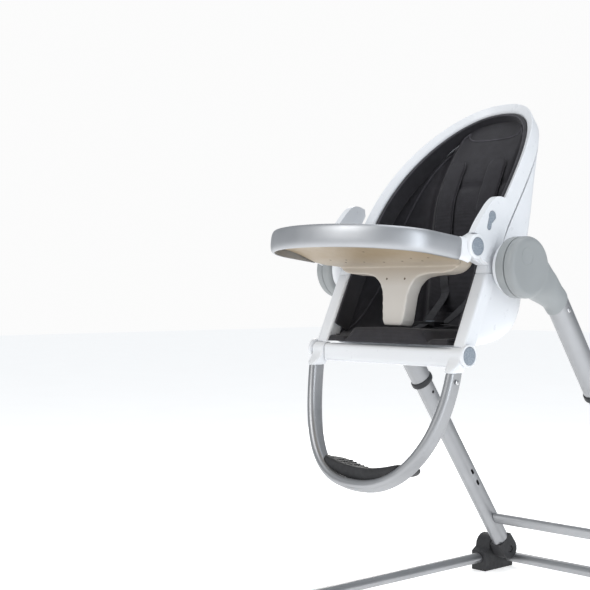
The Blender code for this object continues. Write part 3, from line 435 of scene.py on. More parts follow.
def cut(result, shape, operation="DIFFERENCE"):
    """Cut a piece with a tool shape, or join the shape to it."""
    tool = new_object("tool", new_mesh("tool", shape))
    tool.data.materials.append(result.data.materials[0])
    modifier = result.modifiers.new("cut", "BOOLEAN")
    modifier.operation = operation
    modifier.object = tool
    bpy.context.view_layer.update()
    apply_modifiers(result)
    bpy.data.objects.remove(tool)


def reshade(result, angle=40.0):
    result.data.shade_smooth()
    result.data.set_sharp_from_angle(angle=math.radians(angle))
    return result


def melted(result, voxel, rounds, factor=0.5):
    """Voxel remesh and smooth a piece, so that its joined shapes flow into each other."""
    remesh = result.modifiers.new("voxels", "REMESH")
    remesh.mode = "VOXEL"
    remesh.voxel_size = voxel
    relax = result.modifiers.new("relax", "SMOOTH")
    relax.factor = factor
    relax.iterations = rounds
    apply_modifiers(result)
    result.data.shade_smooth()


def bevelled_copy(node, name, look, body, bevel, segments=3, angle=40.0):
    """A CAD node's shape with its facets merged and its edges rounded."""
    mesh = frame["nodes"][node].data.copy()
    bm = bmesh.new()
    bm.from_mesh(mesh)
    bmesh.ops.remove_doubles(bm, verts=bm.verts, dist=1e-5)
    bmesh.ops.dissolve_limit(bm, angle_limit=math.radians(1.0), verts=bm.verts, edges=bm.edges)
    bm.to_mesh(mesh)
    bm.free()
    finish_piece(name, mesh, look, body, (node,), angle, bevel, segments)


def prism_x(outline, x_from, x_to):
    return loft([[(x, y, z) for y, z in outline] for x in (x_from, x_to)])


def turned_x(centre, profile, count=72, side=1):
    """Turned shape on an X axis; profile is (x, radius), and side -1 puts it on the far side."""
    return loft([[(side * x, centre.y + a, centre.z + b) for a, b in circle(radius, count)]
                 for x, radius in profile])


def rod_x(centre, radius, x_from, x_to, count=32, side=1):
    """Straight round rod on an X axis."""
    return turned_x(centre, ((x_from, radius), (x_to, radius)), count, side)


def tube_line(path, radius, count=10):
    """Round cord along 3-D points."""
    askew = Vector((0.31, 0.52, 0.79))          # only sets where the round section starts
    rings = []
    for i, point in enumerate(path):
        along = step_at(path, i).normalized()
        side = along.cross(askew).normalized()
        other = along.cross(side)
        rings.append([point + side * a + other * b for a, b in circle(radius, count)])
    return loft(rings)


# ---------------------------------------------------------------- seat loop
def front_line(z):
    """Y of the loop's front face at height z."""
    above = max(0.0, z - BEND_Z)
    return LOOP_FRONT_Y + math.tan(LOOP_LEAN) * (z - SEAM_Z) + BEND * above ** 2


def loop_back(z):
    """Way square to the loop's front face, to the rear."""
    slope = math.tan(LOOP_LEAN) + 2 * BEND * max(0.0, z - BEND_Z)
    return Vector((0.0, 1.0, -slope)).normalized()


def arch_station(angle):
    """Half width and height on the arch, from its foot at angle 0 to its top."""
    power = 2 / ARCH_POWER
    width = ARCH_WIDTH * max(0.0, math.cos(angle)) ** power
    return width, ARCH_FOOT_Z + (ARCH_TOP_Z - ARCH_FOOT_Z) * math.sin(angle) ** power


def tube_half_width(z):
    """Half width of the loop between the tray seam and the foot of the arch."""
    share = (z - TRAY_SEAM_Z) / (ARCH_FOOT_Z - TRAY_SEAM_Z)
    return TUBE_X + (ARCH_WIDTH - TUBE_X) * min(1.0, max(0.0, share))


def rim_section(share):
    """Outline (outward, backward): square tube at share 0, bevelled band at share 1."""
    half = TUBE_HALF + (RIM_HALF - TUBE_HALF) * share
    depth = TUBE_DEPTH + (RIM_DEPTH - TUBE_DEPTH) * share
    bevel = RIM_BEVEL * share
    corners = [(half, 0.0), (half, depth), (-half, depth), (-half, bevel)]
    soft = 0.0065 - 0.0035 * share
    return rounded(corners, [soft, 0.006, 0.004, 0.0065 - 0.002 * share], 6)


def loop_stations(steps, lift=0.0, below=()):
    """Stations (half width, Z, share of the arch) up the near side of the loop, over the top and down."""
    arch_steps = 40
    half = list(below)
    for i in range(steps):
        z = TRAY_SEAM_Z + lift + (ARCH_FOOT_Z - TRAY_SEAM_Z) * i / steps
        half.append((tube_half_width(z), z, smooth_step(i / steps, 0.0, 1.0)))
    half += [(*arch_station(math.pi / 2 * i / arch_steps), 1.0) for i in range(arch_steps + 1)]
    return half + [(-width, z, share) for width, z, share in reversed(half[:-1])]


def loop_frames(stations, level_ends=False):
    """Point on the loop's front line with its outward and backward ways, for each station."""
    path = [Vector((width, front_line(z), z)) for width, z, _ in stations]
    frames = []
    for i, (_, z, _) in enumerate(stations):
        along, back = step_at(path, i).normalized(), loop_back(z)
        if level_ends and i in (0, len(path) - 1):
            along, back = Vector((0, 0, 1 if i == 0 else -1)), Vector((0, 1, 0))
        frames.append((path[i], -along.cross(back).normalized(), back))
    return frames


def build_rim():
    """Upper part of the loop: square tubes at the tray that turn into the bevelled band of the arch."""
    stations = loop_stations(16, GAP)
    frames = loop_frames(stations, level_ends=True)
    rings = [[point + outward * a + back * b for a, b in rim_section(share)]
             for (_, _, share), (point, outward, back) in zip(stations, frames)]
    piece("loop_rim", loft(eased_ends(rings)), WHITE, "seat", ("seat_rim",), 32)


def build_side_tubes():
    """Square side tubes of the loop, from the front cross bar up to the tray seam."""
    for label, side in SIDES:
        rings = []
        for i in range(9):
            z = SEAM_Z + (TRAY_SEAM_Z - SEAM_Z) * i / 8
            rings.append([(side * (TUBE_X + a), front_line(z) + b / math.cos(LOOP_LEAN), z)
                          for a, b in rim_section(0.0)])
        piece(f"loop_tube_{label}", loft(eased_ends(rings)), WHITE, "seat", (f"side_tube_{label}",), 32)


# ---------------------------------------------------------------- shell
SHELL_LINE = ((0.379, 1.030), (0.322, 0.950), (0.270, 0.860), (0.254, 0.770), (0.244, 0.670),
              (0.232, 0.606), (0.190, 0.575), (0.120, 0.567), (0.016, 0.571))
SQUARENESS = 2 / 3.4


def shell_edge(share):
    """Edge of the shell behind the loop: share 0 at the head, 1 at the front of the pan."""
    head_part = 0.45
    last = 0.958
    if share > last:
        blend = (share - last) / (1 - last)
        return shell_edge(last).lerp(Vector((0.158, SEAT_Y + 0.020, 0.5735)), blend)
    if share < head_part:
        width, z = arch_station(math.pi / 2 * 0.93 * (1 - share / head_part))
        depth = RIM_DEPTH
    else:
        z = ARCH_FOOT_Z - (ARCH_FOOT_Z - 0.590) * (share - head_part) / (1 - head_part)
        width = tube_half_width(z)
        blend = min(1.0, max(0.0, (z - TRAY_SEAM_Z) / (ARCH_FOOT_Z - TRAY_SEAM_Z)))
        depth = TUBE_DEPTH + (RIM_DEPTH - TUBE_DEPTH) * blend
    return Vector((width, front_line(z), z)) + loop_back(z) * (depth + SHELL_WALL + 0.003)


def shell_surface(row_steps, columns, reach=1.0):
    """Grid of points on the shell's middle surface, rows from the head to the front of the pan."""
    line = spline(SHELL_LINE, row_steps)
    rows = []
    for i, centre in enumerate(line):
        edge = shell_edge(i / (len(line) - 1))
        row = []
        for j in range(columns + 1):
            angle = math.pi / 2 * reach * (2 * j / columns - 1)
            share = abs(math.cos(angle)) ** SQUARENESS
            row.append((edge.x * math.copysign(abs(math.sin(angle)) ** SQUARENESS, angle),
                        edge.y + (SEAT_Y + centre[0] - edge.y) * share,
                        edge.z + (centre[1] - edge.z) * share))
        rows.append(row)
    return np.array(rows)


def surface_normals(grid):
    """Unit normals of a grid that point to the child's side."""
    down = np.gradient(grid, axis=0)
    across = np.gradient(grid, axis=1)
    normal = np.cross(across, down)
    normal /= np.linalg.norm(normal, axis=2, keepdims=True) + 1e-12
    middle = normal[len(grid) // 2, grid.shape[1] // 2]
    return normal if middle[1] < 0 else -normal


def grid_faces(rows, columns, start=0):
    return [(start + i * columns + j, start + i * columns + j + 1, start + (i + 1) * columns + j + 1,
             start + (i + 1) * columns + j) for i in range(rows - 1) for j in range(columns - 1)]


def sandwich(front, back):
    """Closed mesh between two grids of the same shape."""
    rows, columns = front.shape[:2]
    points = np.concatenate([front.reshape(-1, 3), back.reshape(-1, 3)])
    offset = rows * columns
    faces = grid_faces(rows, columns) + [f[::-1] for f in grid_faces(rows, columns, offset)]
    border = [j for j in range(columns)] + [i * columns + columns - 1 for i in range(1, rows)]
    border += [(rows - 1) * columns + j for j in range(columns - 2, -1, -1)]
    border += [i * columns for i in range(rows - 2, 0, -1)]
    for a, b in zip(border, border[1:] + border[:1]):
        faces.append((a, a + offset, b + offset, b))
    return points, faces


def build_shell():
    """White bucket shell behind the loop."""
    grid = shell_surface(9, 56)
    normal = surface_normals(grid)
    shape = sandwich(grid + normal * SHELL_WALL / 2, grid - normal * SHELL_WALL / 2)
    piece("bucket_shell", shape, WHITE, "seat", ("seat_shell",), 50, 0.0014, 3)


def build_front_lip():
    """Cross bar at the front of the seat, with the footrest's pins at its ends."""
    low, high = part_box("seat_front_lip")
    half_y, half_z = (high.y - low.y) / 2, (high.z - low.z) / 2
    inner = TUBE_X - TUBE_HALF - 0.0006
    middle = Vector((0, (low.y + high.y) / 2, (low.z + high.z) / 2))
    rings = [[(x, middle.y + a, middle.z + b) for a, b in rounded_box(half_y, half_z, 0.011, 8)]
             for x in (-inner, inner)]
    lip = piece("front_lip", loft(eased_ends(rings)), WHITE, "seat", ("seat_front_lip",), 32)
    pin_end = TUBE_X - 0.002
    cut(lip, rod_x(FOOT, 0.007, -pin_end, pin_end), "UNION")
    reshade(lip, 32)


# ---------------------------------------------------------------- wings and bosses
def pivot_arc(reach, turns):
    """Points (Y, Z) on a circle about the tray pivot."""
    return [(TRAY.y + reach * math.cos(t), TRAY.z + reach * math.sin(t)) for t in map(math.radians, turns)]


def wing_back(top):
    """Straight rear edge of the wing in front of the loop, from a height down."""
    return [(front_line(z) - 0.0006, z) for z in (top, 0.800, 0.785, 0.770, 0.757, 0.745, 0.722)]


def wing_outline():
    """Side wing in front of the loop: an arc about the tray pivot, a curved top and a straight back."""
    front = spline([(0.0205, 0.7810), (0.0336, 0.7997), (0.0535, 0.8224), (0.0709, 0.8397),
                    (0.0870, 0.8489), (0.1021, 0.8489), (0.1180, 0.8440)], 5)
    front = [(SEAT_Y + p[0], p[1]) for p in front]
    return pivot_arc(0.0248, range(-50, 80, 7)) + front + wing_back(0.830)


def teardrop(offset=0.0):
    """Pear shape (Y, Z) of the wing's button: a big round at the top, a small one below."""
    def arc(centre, radius, start, sweep, steps):
        reach = radius + offset
        turns = (math.radians(start + sweep * i / steps) for i in range(steps + 1))
        return [(centre.x + reach * math.cos(t), centre.y + reach * math.sin(t)) for t in turns]

    upper = arc(Vector((SEAT_Y + 0.0715, 0.812)), 0.0098, -25, 215, 28)
    lower = arc(Vector((SEAT_Y + 0.0620, 0.792)), 0.0055, 175, 170, 18)
    waist = [(SEAT_Y + 0.0690 + offset, 0.7985)]
    return upper + lower + waist


def build_wings():
    """Side wings in front of the loop, each with a pear-shaped button in a well."""
    low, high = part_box("side_wing_left")
    hinge_x = 0.182
    caps = ((high.x - 0.0045, 0.0), (high.x + 0.0002, 0.0), (high.x + 0.0010, -0.0012))
    for label, side in SIDES:
        ear = pivot_arc(0.019, range(-90, -271, -10)) + wing_back(0.812)
        wing = piece(f"wing_{label}", prism_x(ear, side * low.x, side * hinge_x), WHITE, "seat",
                     (f"side_wing_{label}",))
        cut(wing, prism_x(wing_outline(), side * (hinge_x - 0.002), side * high.x), "UNION")
        cut(wing, rod_x(TRAY, 0.0073, 0.155, 0.190, 32, side))
        cut(wing, prism_x(teardrop(0.0006), side * (high.x - 0.008), side * (high.x + 0.010)))
        round_edges(wing, 0.0042, 5, 50)
        reshade(wing, 50)
        button = loft([[(side * x, y, z) for y, z in teardrop(inset)] for x, inset in caps])
        piece(f"wing_button_cap_{label}", button, BUTTON, f"wing_release_{label}",
              (f"wing_button_{label}",), 30)


def build_bosses():
    """Cones between the shell and the hub discs."""
    face = DISC_X - GAP
    axle_r = 0.012
    flare = [(0.1955 + (face - 0.1975) * i / 6, 0.036 + 0.014 * math.sin(math.pi / 2 * i / 6))
             for i in range(7)]
    profile = [(TUBE_X + 0.0025, 0.028), *flare, (face, 0.049), (face + 0.0001, axle_r),
               (COVER_OUT_X - 0.0065, axle_r)]
    inner_x, outer_x, front = 0.15, 0.1958, SEAT_Y - 0.02
    for label, side in SIDES:
        cone = piece(f"hub_cone_{label}", turned_x(HUB, profile, side=side), WHITE, "seat",
                     (f"hub_boss_{label}",), 50)
        rows = []
        for z in (0.640, 0.700, 0.740, 0.800):
            back = front_line(z) + (TUBE_DEPTH + 0.003) / math.cos(LOOP_LEAN) + 0.006
            rows.append([(side * x, y, z) for x, y in ((inner_x, front), (outer_x, front),
                                                       (outer_x, back), (inner_x, back))])
        cut(cone, loft(rows))
        reshade(cone, 50)


# ---------------------------------------------------------------- tray
TRAY_PLACE = Matrix.Translation(TRAY) @ Matrix.Rotation(-TRAY_TILT, 4, "X")


def on_tray(rings):
    return [[TRAY_PLACE @ Vector(p) for p in ring] for ring in rings]


def tray_plan(inset, start, steps=64):
    nose = []
    for i in range(steps + 1):
        t = math.pi * i / steps
        nose.append(((TRAY_HALF - inset) * math.cos(t), -TRAY_STRAIGHT - (TRAY_NOSE - inset) * math.sin(t)))
    arm = [-start + (-TRAY_STRAIGHT + start) * i / 5 for i in range(5)]
    side = TRAY_HALF - inset
    return [(side, y) for y in arm] + nose + [(-side, y) for y in reversed(arm)]


def band_profile(wall=BAND):
    """Section (inward, up) of the band: a full round face outside, flat inside."""
    middle, half = (TRAY_HIGH + TRAY_LOW) / 2, (TRAY_HIGH - TRAY_LOW) / 2
    face = []
    for i in range(25):
        up = -math.cos(math.pi * i / 24)
        bulge = (1 - abs(up) ** 2.6) ** (1 / 2.6)
        face.append(((1 - bulge) * 0.0080, middle + half * up))
    return face + [(wall - 0.0008, TRAY_HIGH), (wall, TRAY_HIGH - 0.0008), (wall, TRAY_LOW + 0.0008),
                   (wall - 0.0008, TRAY_LOW)]


def build_tray_band():
    """Silver band round the tray."""
    outer, inner = tray_plan(0.0, ARM_START), tray_plan(BAND, ARM_START)
    profile = band_profile()
    rings = []
    for (xo, yo), (xi, yi) in zip(outer, inner):
        out = Vector((xo - xi, yo - yi, 0)).normalized()
        rings.append([Vector((xo, yo, 0)) - out * d + Vector((0, 0, h)) for d, h in profile])
    piece("tray_band", loft(eased_ends(on_tray(rings), 0.0008)), BAND_SILVER_PAINTED_LIGHT, "tray", ("tray_rim",), 34)


def build_tray_dish():
    """Dished top with a soft inner step and a round cup recess."""
    def outline(inset):
        plan = tray_plan(BAND + 0.0004 + inset, 0.050)
        y = -0.0125 - inset
        return plan + [(-0.165 + inset, y - 0.010), (-0.150 + inset, y), (0.150 - inset, y),
                       (0.165 - inset, y - 0.010)]
    heights = ((0.0, -0.0105), (0.0, 0.0070), (0.0012, 0.0086), (0.0030, 0.0092), (0.0080, 0.0090),
               (0.0100, 0.0080), (0.0125, 0.0030), (0.0155, -0.0020), (0.0200, -0.0040))
    rings = on_tray([[(x, y, h) for x, y in outline(inset)] for inset, h in heights])
    dish = piece("tray_top", loft(rings), WHITE, "tray", ("tray_dish",), 40)
    cup = Vector((0.118, -0.120, 0.0))
    ring = [(0.036, 0.010), (0.036, -0.0035), (0.034, -0.0066), (0.031, -0.0076)]
    shape = on_tray([[(cup.x + a, cup.y + b, h) for a, b in circle(r, 48)] for r, h in ring])
    cut(dish, loft(shape))
    reshade(dish, 40)


def moulding_skin():
    """Panel under the tray: its outline shrinks inward and hangs lower towards the rear."""
    centre_y = -0.09
    plan = tray_plan(BAND + 0.0006, 0.040)
    outline = plan + [(-0.176, -0.016), (-0.150, 0.018), (0.150, 0.018), (0.176, -0.016)]
    rings = [[(x, y, -0.0108) for x, y in outline]]
    for shrink in (0.0, 0.2, 0.4, 0.6, 0.8, 0.92):
        left = 1 - shrink
        ring = [(x * left, (y - centre_y) * left + centre_y) for x, y in outline]
        rings.append([(x, y, -0.0145 - 0.0175 * smooth_step(y, -0.120, -0.004)) for x, y in ring])
    return loft(on_tray(rings))


def moulding_post():
    """Crotch post and the two leg arches beside it, as a slab across the tray."""
    front, back, foot, wing = 0.006, 0.040, -0.147, 0.160
    arch = spline([(0.0300, -0.112), (0.0325, -0.087), (0.041, -0.067), (0.057, -0.0535), (0.084, -0.048),
                   (0.120, -0.046), (0.140, -0.0425), (0.154, -0.034), (wing, -0.024)], 8)
    right = [(0.0215, foot), (0.0268, foot + 0.010)] + [tuple(p) for p in arch] + [(wing, -0.018)]
    outline = right + [(-x, z) for x, z in reversed(right)]
    return loft(on_tray([[(x, y, z) for x, z in outline] for y in (front, back)]))


def build_tray_moulding():
    """Underside panel that sweeps down into the crotch post between two leg arches."""
    # its material paints a tan shade under the panel
    moulding = piece("tray_underside", moulding_skin(), UNDERSIDE_PAINTED_SHADE, "tray", ("tray_crotch_post",))
    cut(moulding, moulding_post(), "UNION")
    melted(moulding, 0.0019, 9)
    build_vents(BVHTree.FromObject(moulding, bpy.context.evaluated_depsgraph_get()))


def build_vents(surface):
    """Small holes in the moulding, seen from below and from the front: brown discs of painted shade that
    stand for the dark inside of each hole.
    """
    turn = TRAY_PLACE.to_3x3()
    from_below = ((0.0, -0.088), (-0.085, -0.048), (0.085, -0.048), (0.0, -0.030))
    from_front = ((0.0235, -0.057), (0.050, -0.029), (0.100, -0.029), (0.128, -0.026))
    rays = [(Vector((x, y, -0.20)), Vector((0, 0, 1))) for x, y in from_below]
    rays += [(Vector((side * x, -0.12, z)), Vector((0, 1, 0))) for x, z in from_front for side in (1, -1)]
    for i, (start, way) in enumerate(rays):
        hit, normal, _, _ = surface.ray_cast(TRAY_PLACE @ start, turn @ way)
        if hit is None:
            continue
        if normal.dot(turn @ way) > 0:
            normal = -normal
        side = normal.cross(Vector((1, 0.1, 0))).normalized()
        other = normal.cross(side)
        rings = [[hit + normal * lift + side * a + other * b for a, b in circle(r, 16)]
                 for lift, r in ((-0.0010, 0.0023), (0.0001, 0.0023), (0.00015, 0.0012))]
        piece(f"tray_vent_{i}", loft(rings), VENT_HOLE_SHADE, "tray", ())


def round_button(name, centre, side, out, body, node):
    """Speckled push button with a soft domed edge."""
    profile = [(out - 0.0035, BUTTON_R)] + quarter_round(out - 0.0022, BUTTON_R, 0.0022, 0.0030, 6)
    piece(name, turned_x(centre, profile, side=side), BUTTON, body, (node,), 50)


def build_tray_caps():
    """White ends of the band: the band's own section run into a round bezel on the hinge."""
    bezel_r, bezel_x, edge = 0.0225, 0.1838, 0.0032
    stations = ((-ARM_START + GAP, 0.0), (-0.026, 0.0003), (-0.018, 0.0015), (-0.010, 0.0030))
    for label, side in SIDES:
        _, out = x_reach(f"tray_end_cap_{label}")
        rings = [[(side * (TRAY_HALF + grow - d), y, h + 0.001 - grow) for d, h in band_profile()]
                 for y, grow in stations]
        cap = piece(f"tray_cap_{label}", loft(on_tray(eased_ends(rings, 0.0008))), WHITE, "tray",
                    (f"tray_end_cap_{label}",))
        bezel = [(bezel_x, bezel_r - 0.0020), (0.1850, bezel_r), (out - edge, bezel_r)]
        bezel += quarter_round(out - edge, bezel_r, edge, 0.0026, 6, 1)
        cut(cap, turned_x(TRAY, bezel, side=side), "UNION")
        stub = turned_x(TRAY, ((0.167, 0.007), (bezel_x, 0.007), (0.1900, 0.007)), 32, side)
        cut(cap, stub, "UNION")
        cut(cap, rod_x(TRAY, BUTTON_R + 0.0005, out - 0.005, 0.220, 72, side))
        reshade(cap, 32)
        round_button(f"tray_button_cap_{label}", TRAY, side, out + 0.0015, f"tray_release_{label}",
                     f"tray_button_{label}")


# ---------------------------------------------------------------- footrest
def foot_loop_point(angle):
    power = 2 / FOOT_POWER
    width = FOOT_HALF * math.sin(angle) ** power
    height = FOOT_TOP_Z - (FOOT_TOP_Z - FOOT_BOTTOM_Z) * max(0.0, math.cos(angle)) ** power
    below = max(0.0, FITTING_Z - height)
    return Vector((width, FITTING_Y - FOOT_SLOPE * below - FOOT_BOW * below ** 2, height))


def foot_loop_rings(section):
    start = math.acos(((FOOT_TOP_Z - FITTING_Z) / (FOOT_TOP_Z - FOOT_BOTTOM_Z)) ** (FOOT_POWER / 2))
    half = [foot_loop_point(start * (1 - i / 36)) for i in range(36)]
    path = half + [foot_loop_point(0.0)] + [Vector((-p.x, p.y, p.z)) for p in reversed(half)]
    rings = []
    for i, point in enumerate(path):
        along = step_at(path, i)
        back = Vector((0.0, 1.0, -(FOOT_SLOPE + 2 * FOOT_BOW * (FITTING_Z - point.z)))).normalized()
        if i in (0, len(path) - 1):
            along = Vector((0, 0, -1 if i == 0 else 1))
            back = Vector((0, 1, 0))
        outward = along.cross(back).normalized()
        rings.append([point + outward * a + back * b for a, b in section])
    return rings


def build_footrest():
    """Silver footrest loop and its two fittings."""
    loop = foot_loop_rings(flat_oval(*FOOT_LOOP))
    piece("footrest_tube", loft(eased_ends(loop, 0.0006)), SILVER, "footrest", ("footrest_loop",), 34)
    for label, side in SIDES:
        build_fitting(label, side)


def build_fitting(label, side):
    """White fitting that carries the footrest tube on its round release button."""
    sections = ((FITTING_Y, FITTING_Z + GAP, 0.0108, 0.0178, 0.0085),
                (FITTING_Y + 0.002, FITTING_Z + 0.0060, 0.0120, 0.0172, 0.0070),
                (FOOT.y - 0.006, FOOT.z - 0.014, 0.0148, 0.0152, 0.0055),
                (FOOT.y - 0.002, FOOT.z - 0.006, 0.0148, 0.0148, 0.0050),
                (FOOT.y, FOOT.z + 0.0005, 0.0148, 0.0145, 0.0050))
    rings = [[(side * (TUBE_X + a), y + b, z) for a, b in rounded_box(ha, hb, r, 6)]
             for y, z, ha, hb, r in sections]
    fitting = piece(f"footrest_joint_{label}", loft(eased_ends(rings, 0.0008)), WHITE, "footrest",
                    (f"footrest_fitting_{label}",))
    cheek = TUBE_HALF - 0.0004
    cut(fitting, rod_x(FOOT, 0.0152, TUBE_X - cheek, TUBE_X + cheek, 56, side), "UNION")
    collar_x, face = TUBE_X + TUBE_HALF + GAP, TUBE_X + TUBE_HALF + 0.0070
    collar_r = 0.0205
    boss = ((TUBE_X + 0.010, 0.0140), (collar_x, 0.0140), (collar_x, collar_r), (face, collar_r))
    cut(fitting, turned_x(FOOT, boss, 64, side), "UNION")
    cut(fitting, rod_x(FOOT, BUTTON_R + 0.0005, face - 0.005, 0.220, 64, side))
    cut(fitting, rod_x(FOOT, 0.0073, 0.150, TUBE_X - 0.0017, 32, side))
    round_edges(fitting, 0.0014, 3, 55, harden=False)
    reshade(fitting, 50)
    round_button(f"footrest_button_cap_{label}", FOOT, side, face + 0.0015, f"footrest_release_{label}",
                 f"footrest_button_{label}")
    build_screw(f"footrest_screw_{label}", "footrest", side)


def build_screw(node, body, side):
    """Domed steel screw with a cross recess."""
    low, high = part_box(node)
    centre = (low + high) / 2
    inner, outer = x_reach(node)
    radius, rim = (high.z - low.z) / 2, 0.0004
    dome = [(inner + rim + (outer - inner - rim) * math.sin(t), radius * math.cos(t) + rim)
            for t in (math.pi / 2 * i / 6 for i in range(1, 7))]
    profile = [(inner - 0.0010, radius), (inner + rim, radius)] + dome
    head = piece(f"{node}_head", turned_x(centre, profile, 32, side), STEEL, body, (node,))
    arm, slit = radius * 0.62, radius * 0.17
    for half_y, half_z in ((arm, slit), (slit, arm)):
        slot = [(centre.y + a, centre.z + b) for a, b in ((half_y, half_z), (-half_y, half_z),
                                                          (-half_y, -half_z), (half_y, -half_z))]
        cut(head, prism_x(slot, side * (outer - 0.0007), side * (outer + 0.002)))
    reshade(head, 35)


PLATE_WIDTH, PLATE_TOP, PLATE_RISE, PLATE_FALL = 0.1005, 0.3436, 1.72, 0.20
PLATE_FRONT, PLATE_BACK = SEAT_Y - 0.086, SEAT_Y - 0.008


def plate_section(share):
    """Outline (Y, Z) across the foot plate, share -1 to 1 from end to end: rounded nose, thin back edge."""
    x = PLATE_WIDTH * share
    top = PLATE_TOP + PLATE_RISE * x * x
    across = (abs(x) / (FOOT_HALF - FOOT_LOOP[0])) ** FOOT_POWER
    loop_z = FOOT_TOP_Z - (FOOT_TOP_Z - FOOT_BOTTOM_Z - FOOT_LOOP[0]) * (1 - across) ** (1 / FOOT_POWER)
    front, back = PLATE_FRONT, PLATE_BACK
    under = min(loop_z + 0.0008, top - 0.006)
    nose = [(front, under), (front - 0.0008, (under + top) / 2), (front + 0.001, top - 0.003),
            (front + 0.004, top - 0.0006), (front + 0.009, top - 0.0002)]
    fall = PLATE_FALL * (back - front)
    deck = [(front + (back - front) * t, top - fall * t) for t in (0.25, 0.40, 0.55, 0.70, 0.85)]
    edge, low = back - 0.0006, top - fall
    tail = [(back - 0.004, low), (edge, low - 0.003), (edge, low - 0.008), (back - 0.005, low - 0.011)]
    return x, nose + deck + tail + [(front + 0.030, min(under - 0.002, top - 0.014))]


def build_plate():
    """Charcoal foot plate: crosswise dish between its raised ends, with a rounded nose."""
    rings = []
    for i in range(41):
        share = math.sin(math.pi / 2 * (i / 20 - 1))
        x, section = plate_section(share)
        middle = Vector((sum(y for y, _ in section), sum(z for _, z in section))) / len(section)
        size = 0.35 + 0.65 * math.sqrt(max(0.0, 1 - abs(share) ** 14))
        rings.append([(x, *(middle + (Vector(p) - middle) * size)) for p in section])
    plate = piece("foot_plate", loft(rings), CHARCOAL, "footrest", ("footrest_plate",), 45)
    cut(plate, loft(foot_loop_rings(flat_oval(FOOT_LOOP[0] + GAP, FOOT_LOOP[1] + GAP))))
    reshade(plate, 45)
    build_studs()


def build_studs():
    """Rows of low round studs on the foot plate, every other row shifted by half a step."""
    pitch, row_count = 0.0105, 5
    first, last = SEAT_Y - 0.068, SEAT_Y - 0.018
    profile = ((-0.0012, 0.0036), (0.0006, 0.0036), (0.0011, 0.0030), (0.0012, 0.0018))
    studs = []
    for i in range(-8, 9):
        for k in range(row_count):
            x, y = pitch * (i + 0.5 * (k % 2)), first + (last - first) * k / (row_count - 1)
            if abs(x) < 0.090:
                spot = Vector((x, y, PLATE_TOP + PLATE_RISE * x * x - PLATE_FALL * (y - SEAT_Y + 0.086)))
                studs.append(loft([[(spot.x + a, spot.y + b, spot.z + h) for a, b in circle(r, 20)]
                                   for h, r in profile]))
    piece("foot_plate_studs", joined(studs), CHARCOAL, "footrest", (), 35)


# ---------------------------------------------------------------- hubs and legs
def leg_point(along, across=0.0):
    """World Y and Z of a point along the leg; across is positive to the front."""
    spot = KNUCKLE + LEG * along + LEG_FRONT * across
    return spot.y, spot.z


def leg_ring(x, section, along):
    """Section of a leg part at a distance along the leg."""
    return [(x + a, *leg_point(along, b)) for a, b in section]


def build_hub():
    """Grey disc of each hub, with a rounded rim."""
    bore_r = 0.013
    profile = [(DISC_X, bore_r), (DISC_X, HUB_R - 0.006), (DISC_X + 0.0012, HUB_R - 0.0035),
               (DISC_X + 0.0045, HUB_R - 0.0006), (DISC_X + 0.007, HUB_R), (COVER_X - 0.0014, HUB_R),
               (COVER_X - 0.0006, HUB_R - 0.0012), (COVER_X - 0.0004, bore_r)]
    for label, side in SIDES:
        piece(f"hub_ring_{label}", turned_x(HUB, profile, 96, side), GREY, "hub", (f"hub_disc_{label}",), 35)


def hub_neck(side):
    """Neck of the hub cover, from the leg's sleeve to inside the round head."""
    half_x, half_c = UPPER_TUBE[0] + 0.0012, UPPER_TUBE[1] + 0.0012
    # distance along the leg, X, half width, and reach to the back and to the front
    stations = ((0.7295, LEG_X, half_x, -half_c, half_c + 0.002),
                (0.7445, LEG_X + 0.001, half_x, -0.0256, half_c + 0.007),
                (0.760, LEG_X + 0.003, half_x, -0.0200, half_c + 0.018),
                (0.776, LEG_X + 0.006, half_x - 0.0005, -0.0140, 0.0570),
                (0.792, LEG_X + 0.011, half_x - 0.0035, -0.0078, 0.0710),
                (0.808, LEG_X + 0.016, half_x - 0.0085, -0.0020, 0.0860),
                (0.835, LEG_X + 0.0195, half_x - 0.0120, 0.0040, 0.1050))
    rings = []
    for along, x, half, low, high in spline([Vector(station) for station in stations], 4):
        slant = 0.28 * (1 - smooth_step(along, 0.7295, 0.745))
        squareness = 1.0 - 0.45 * smooth_step(along, 0.750, 0.800)
        ring = []
        for i in range(64):
            t = 2 * math.pi * i / 64
            across = (low + high) / 2 + (high - low) / 2 * math.sin(t)
            out = math.copysign(abs(math.cos(t)) ** squareness, math.cos(t))
            ring.append((side * (x + half * out), *leg_point(along - slant * across, across)))
        rings.append(ring)
    return loft(rings)


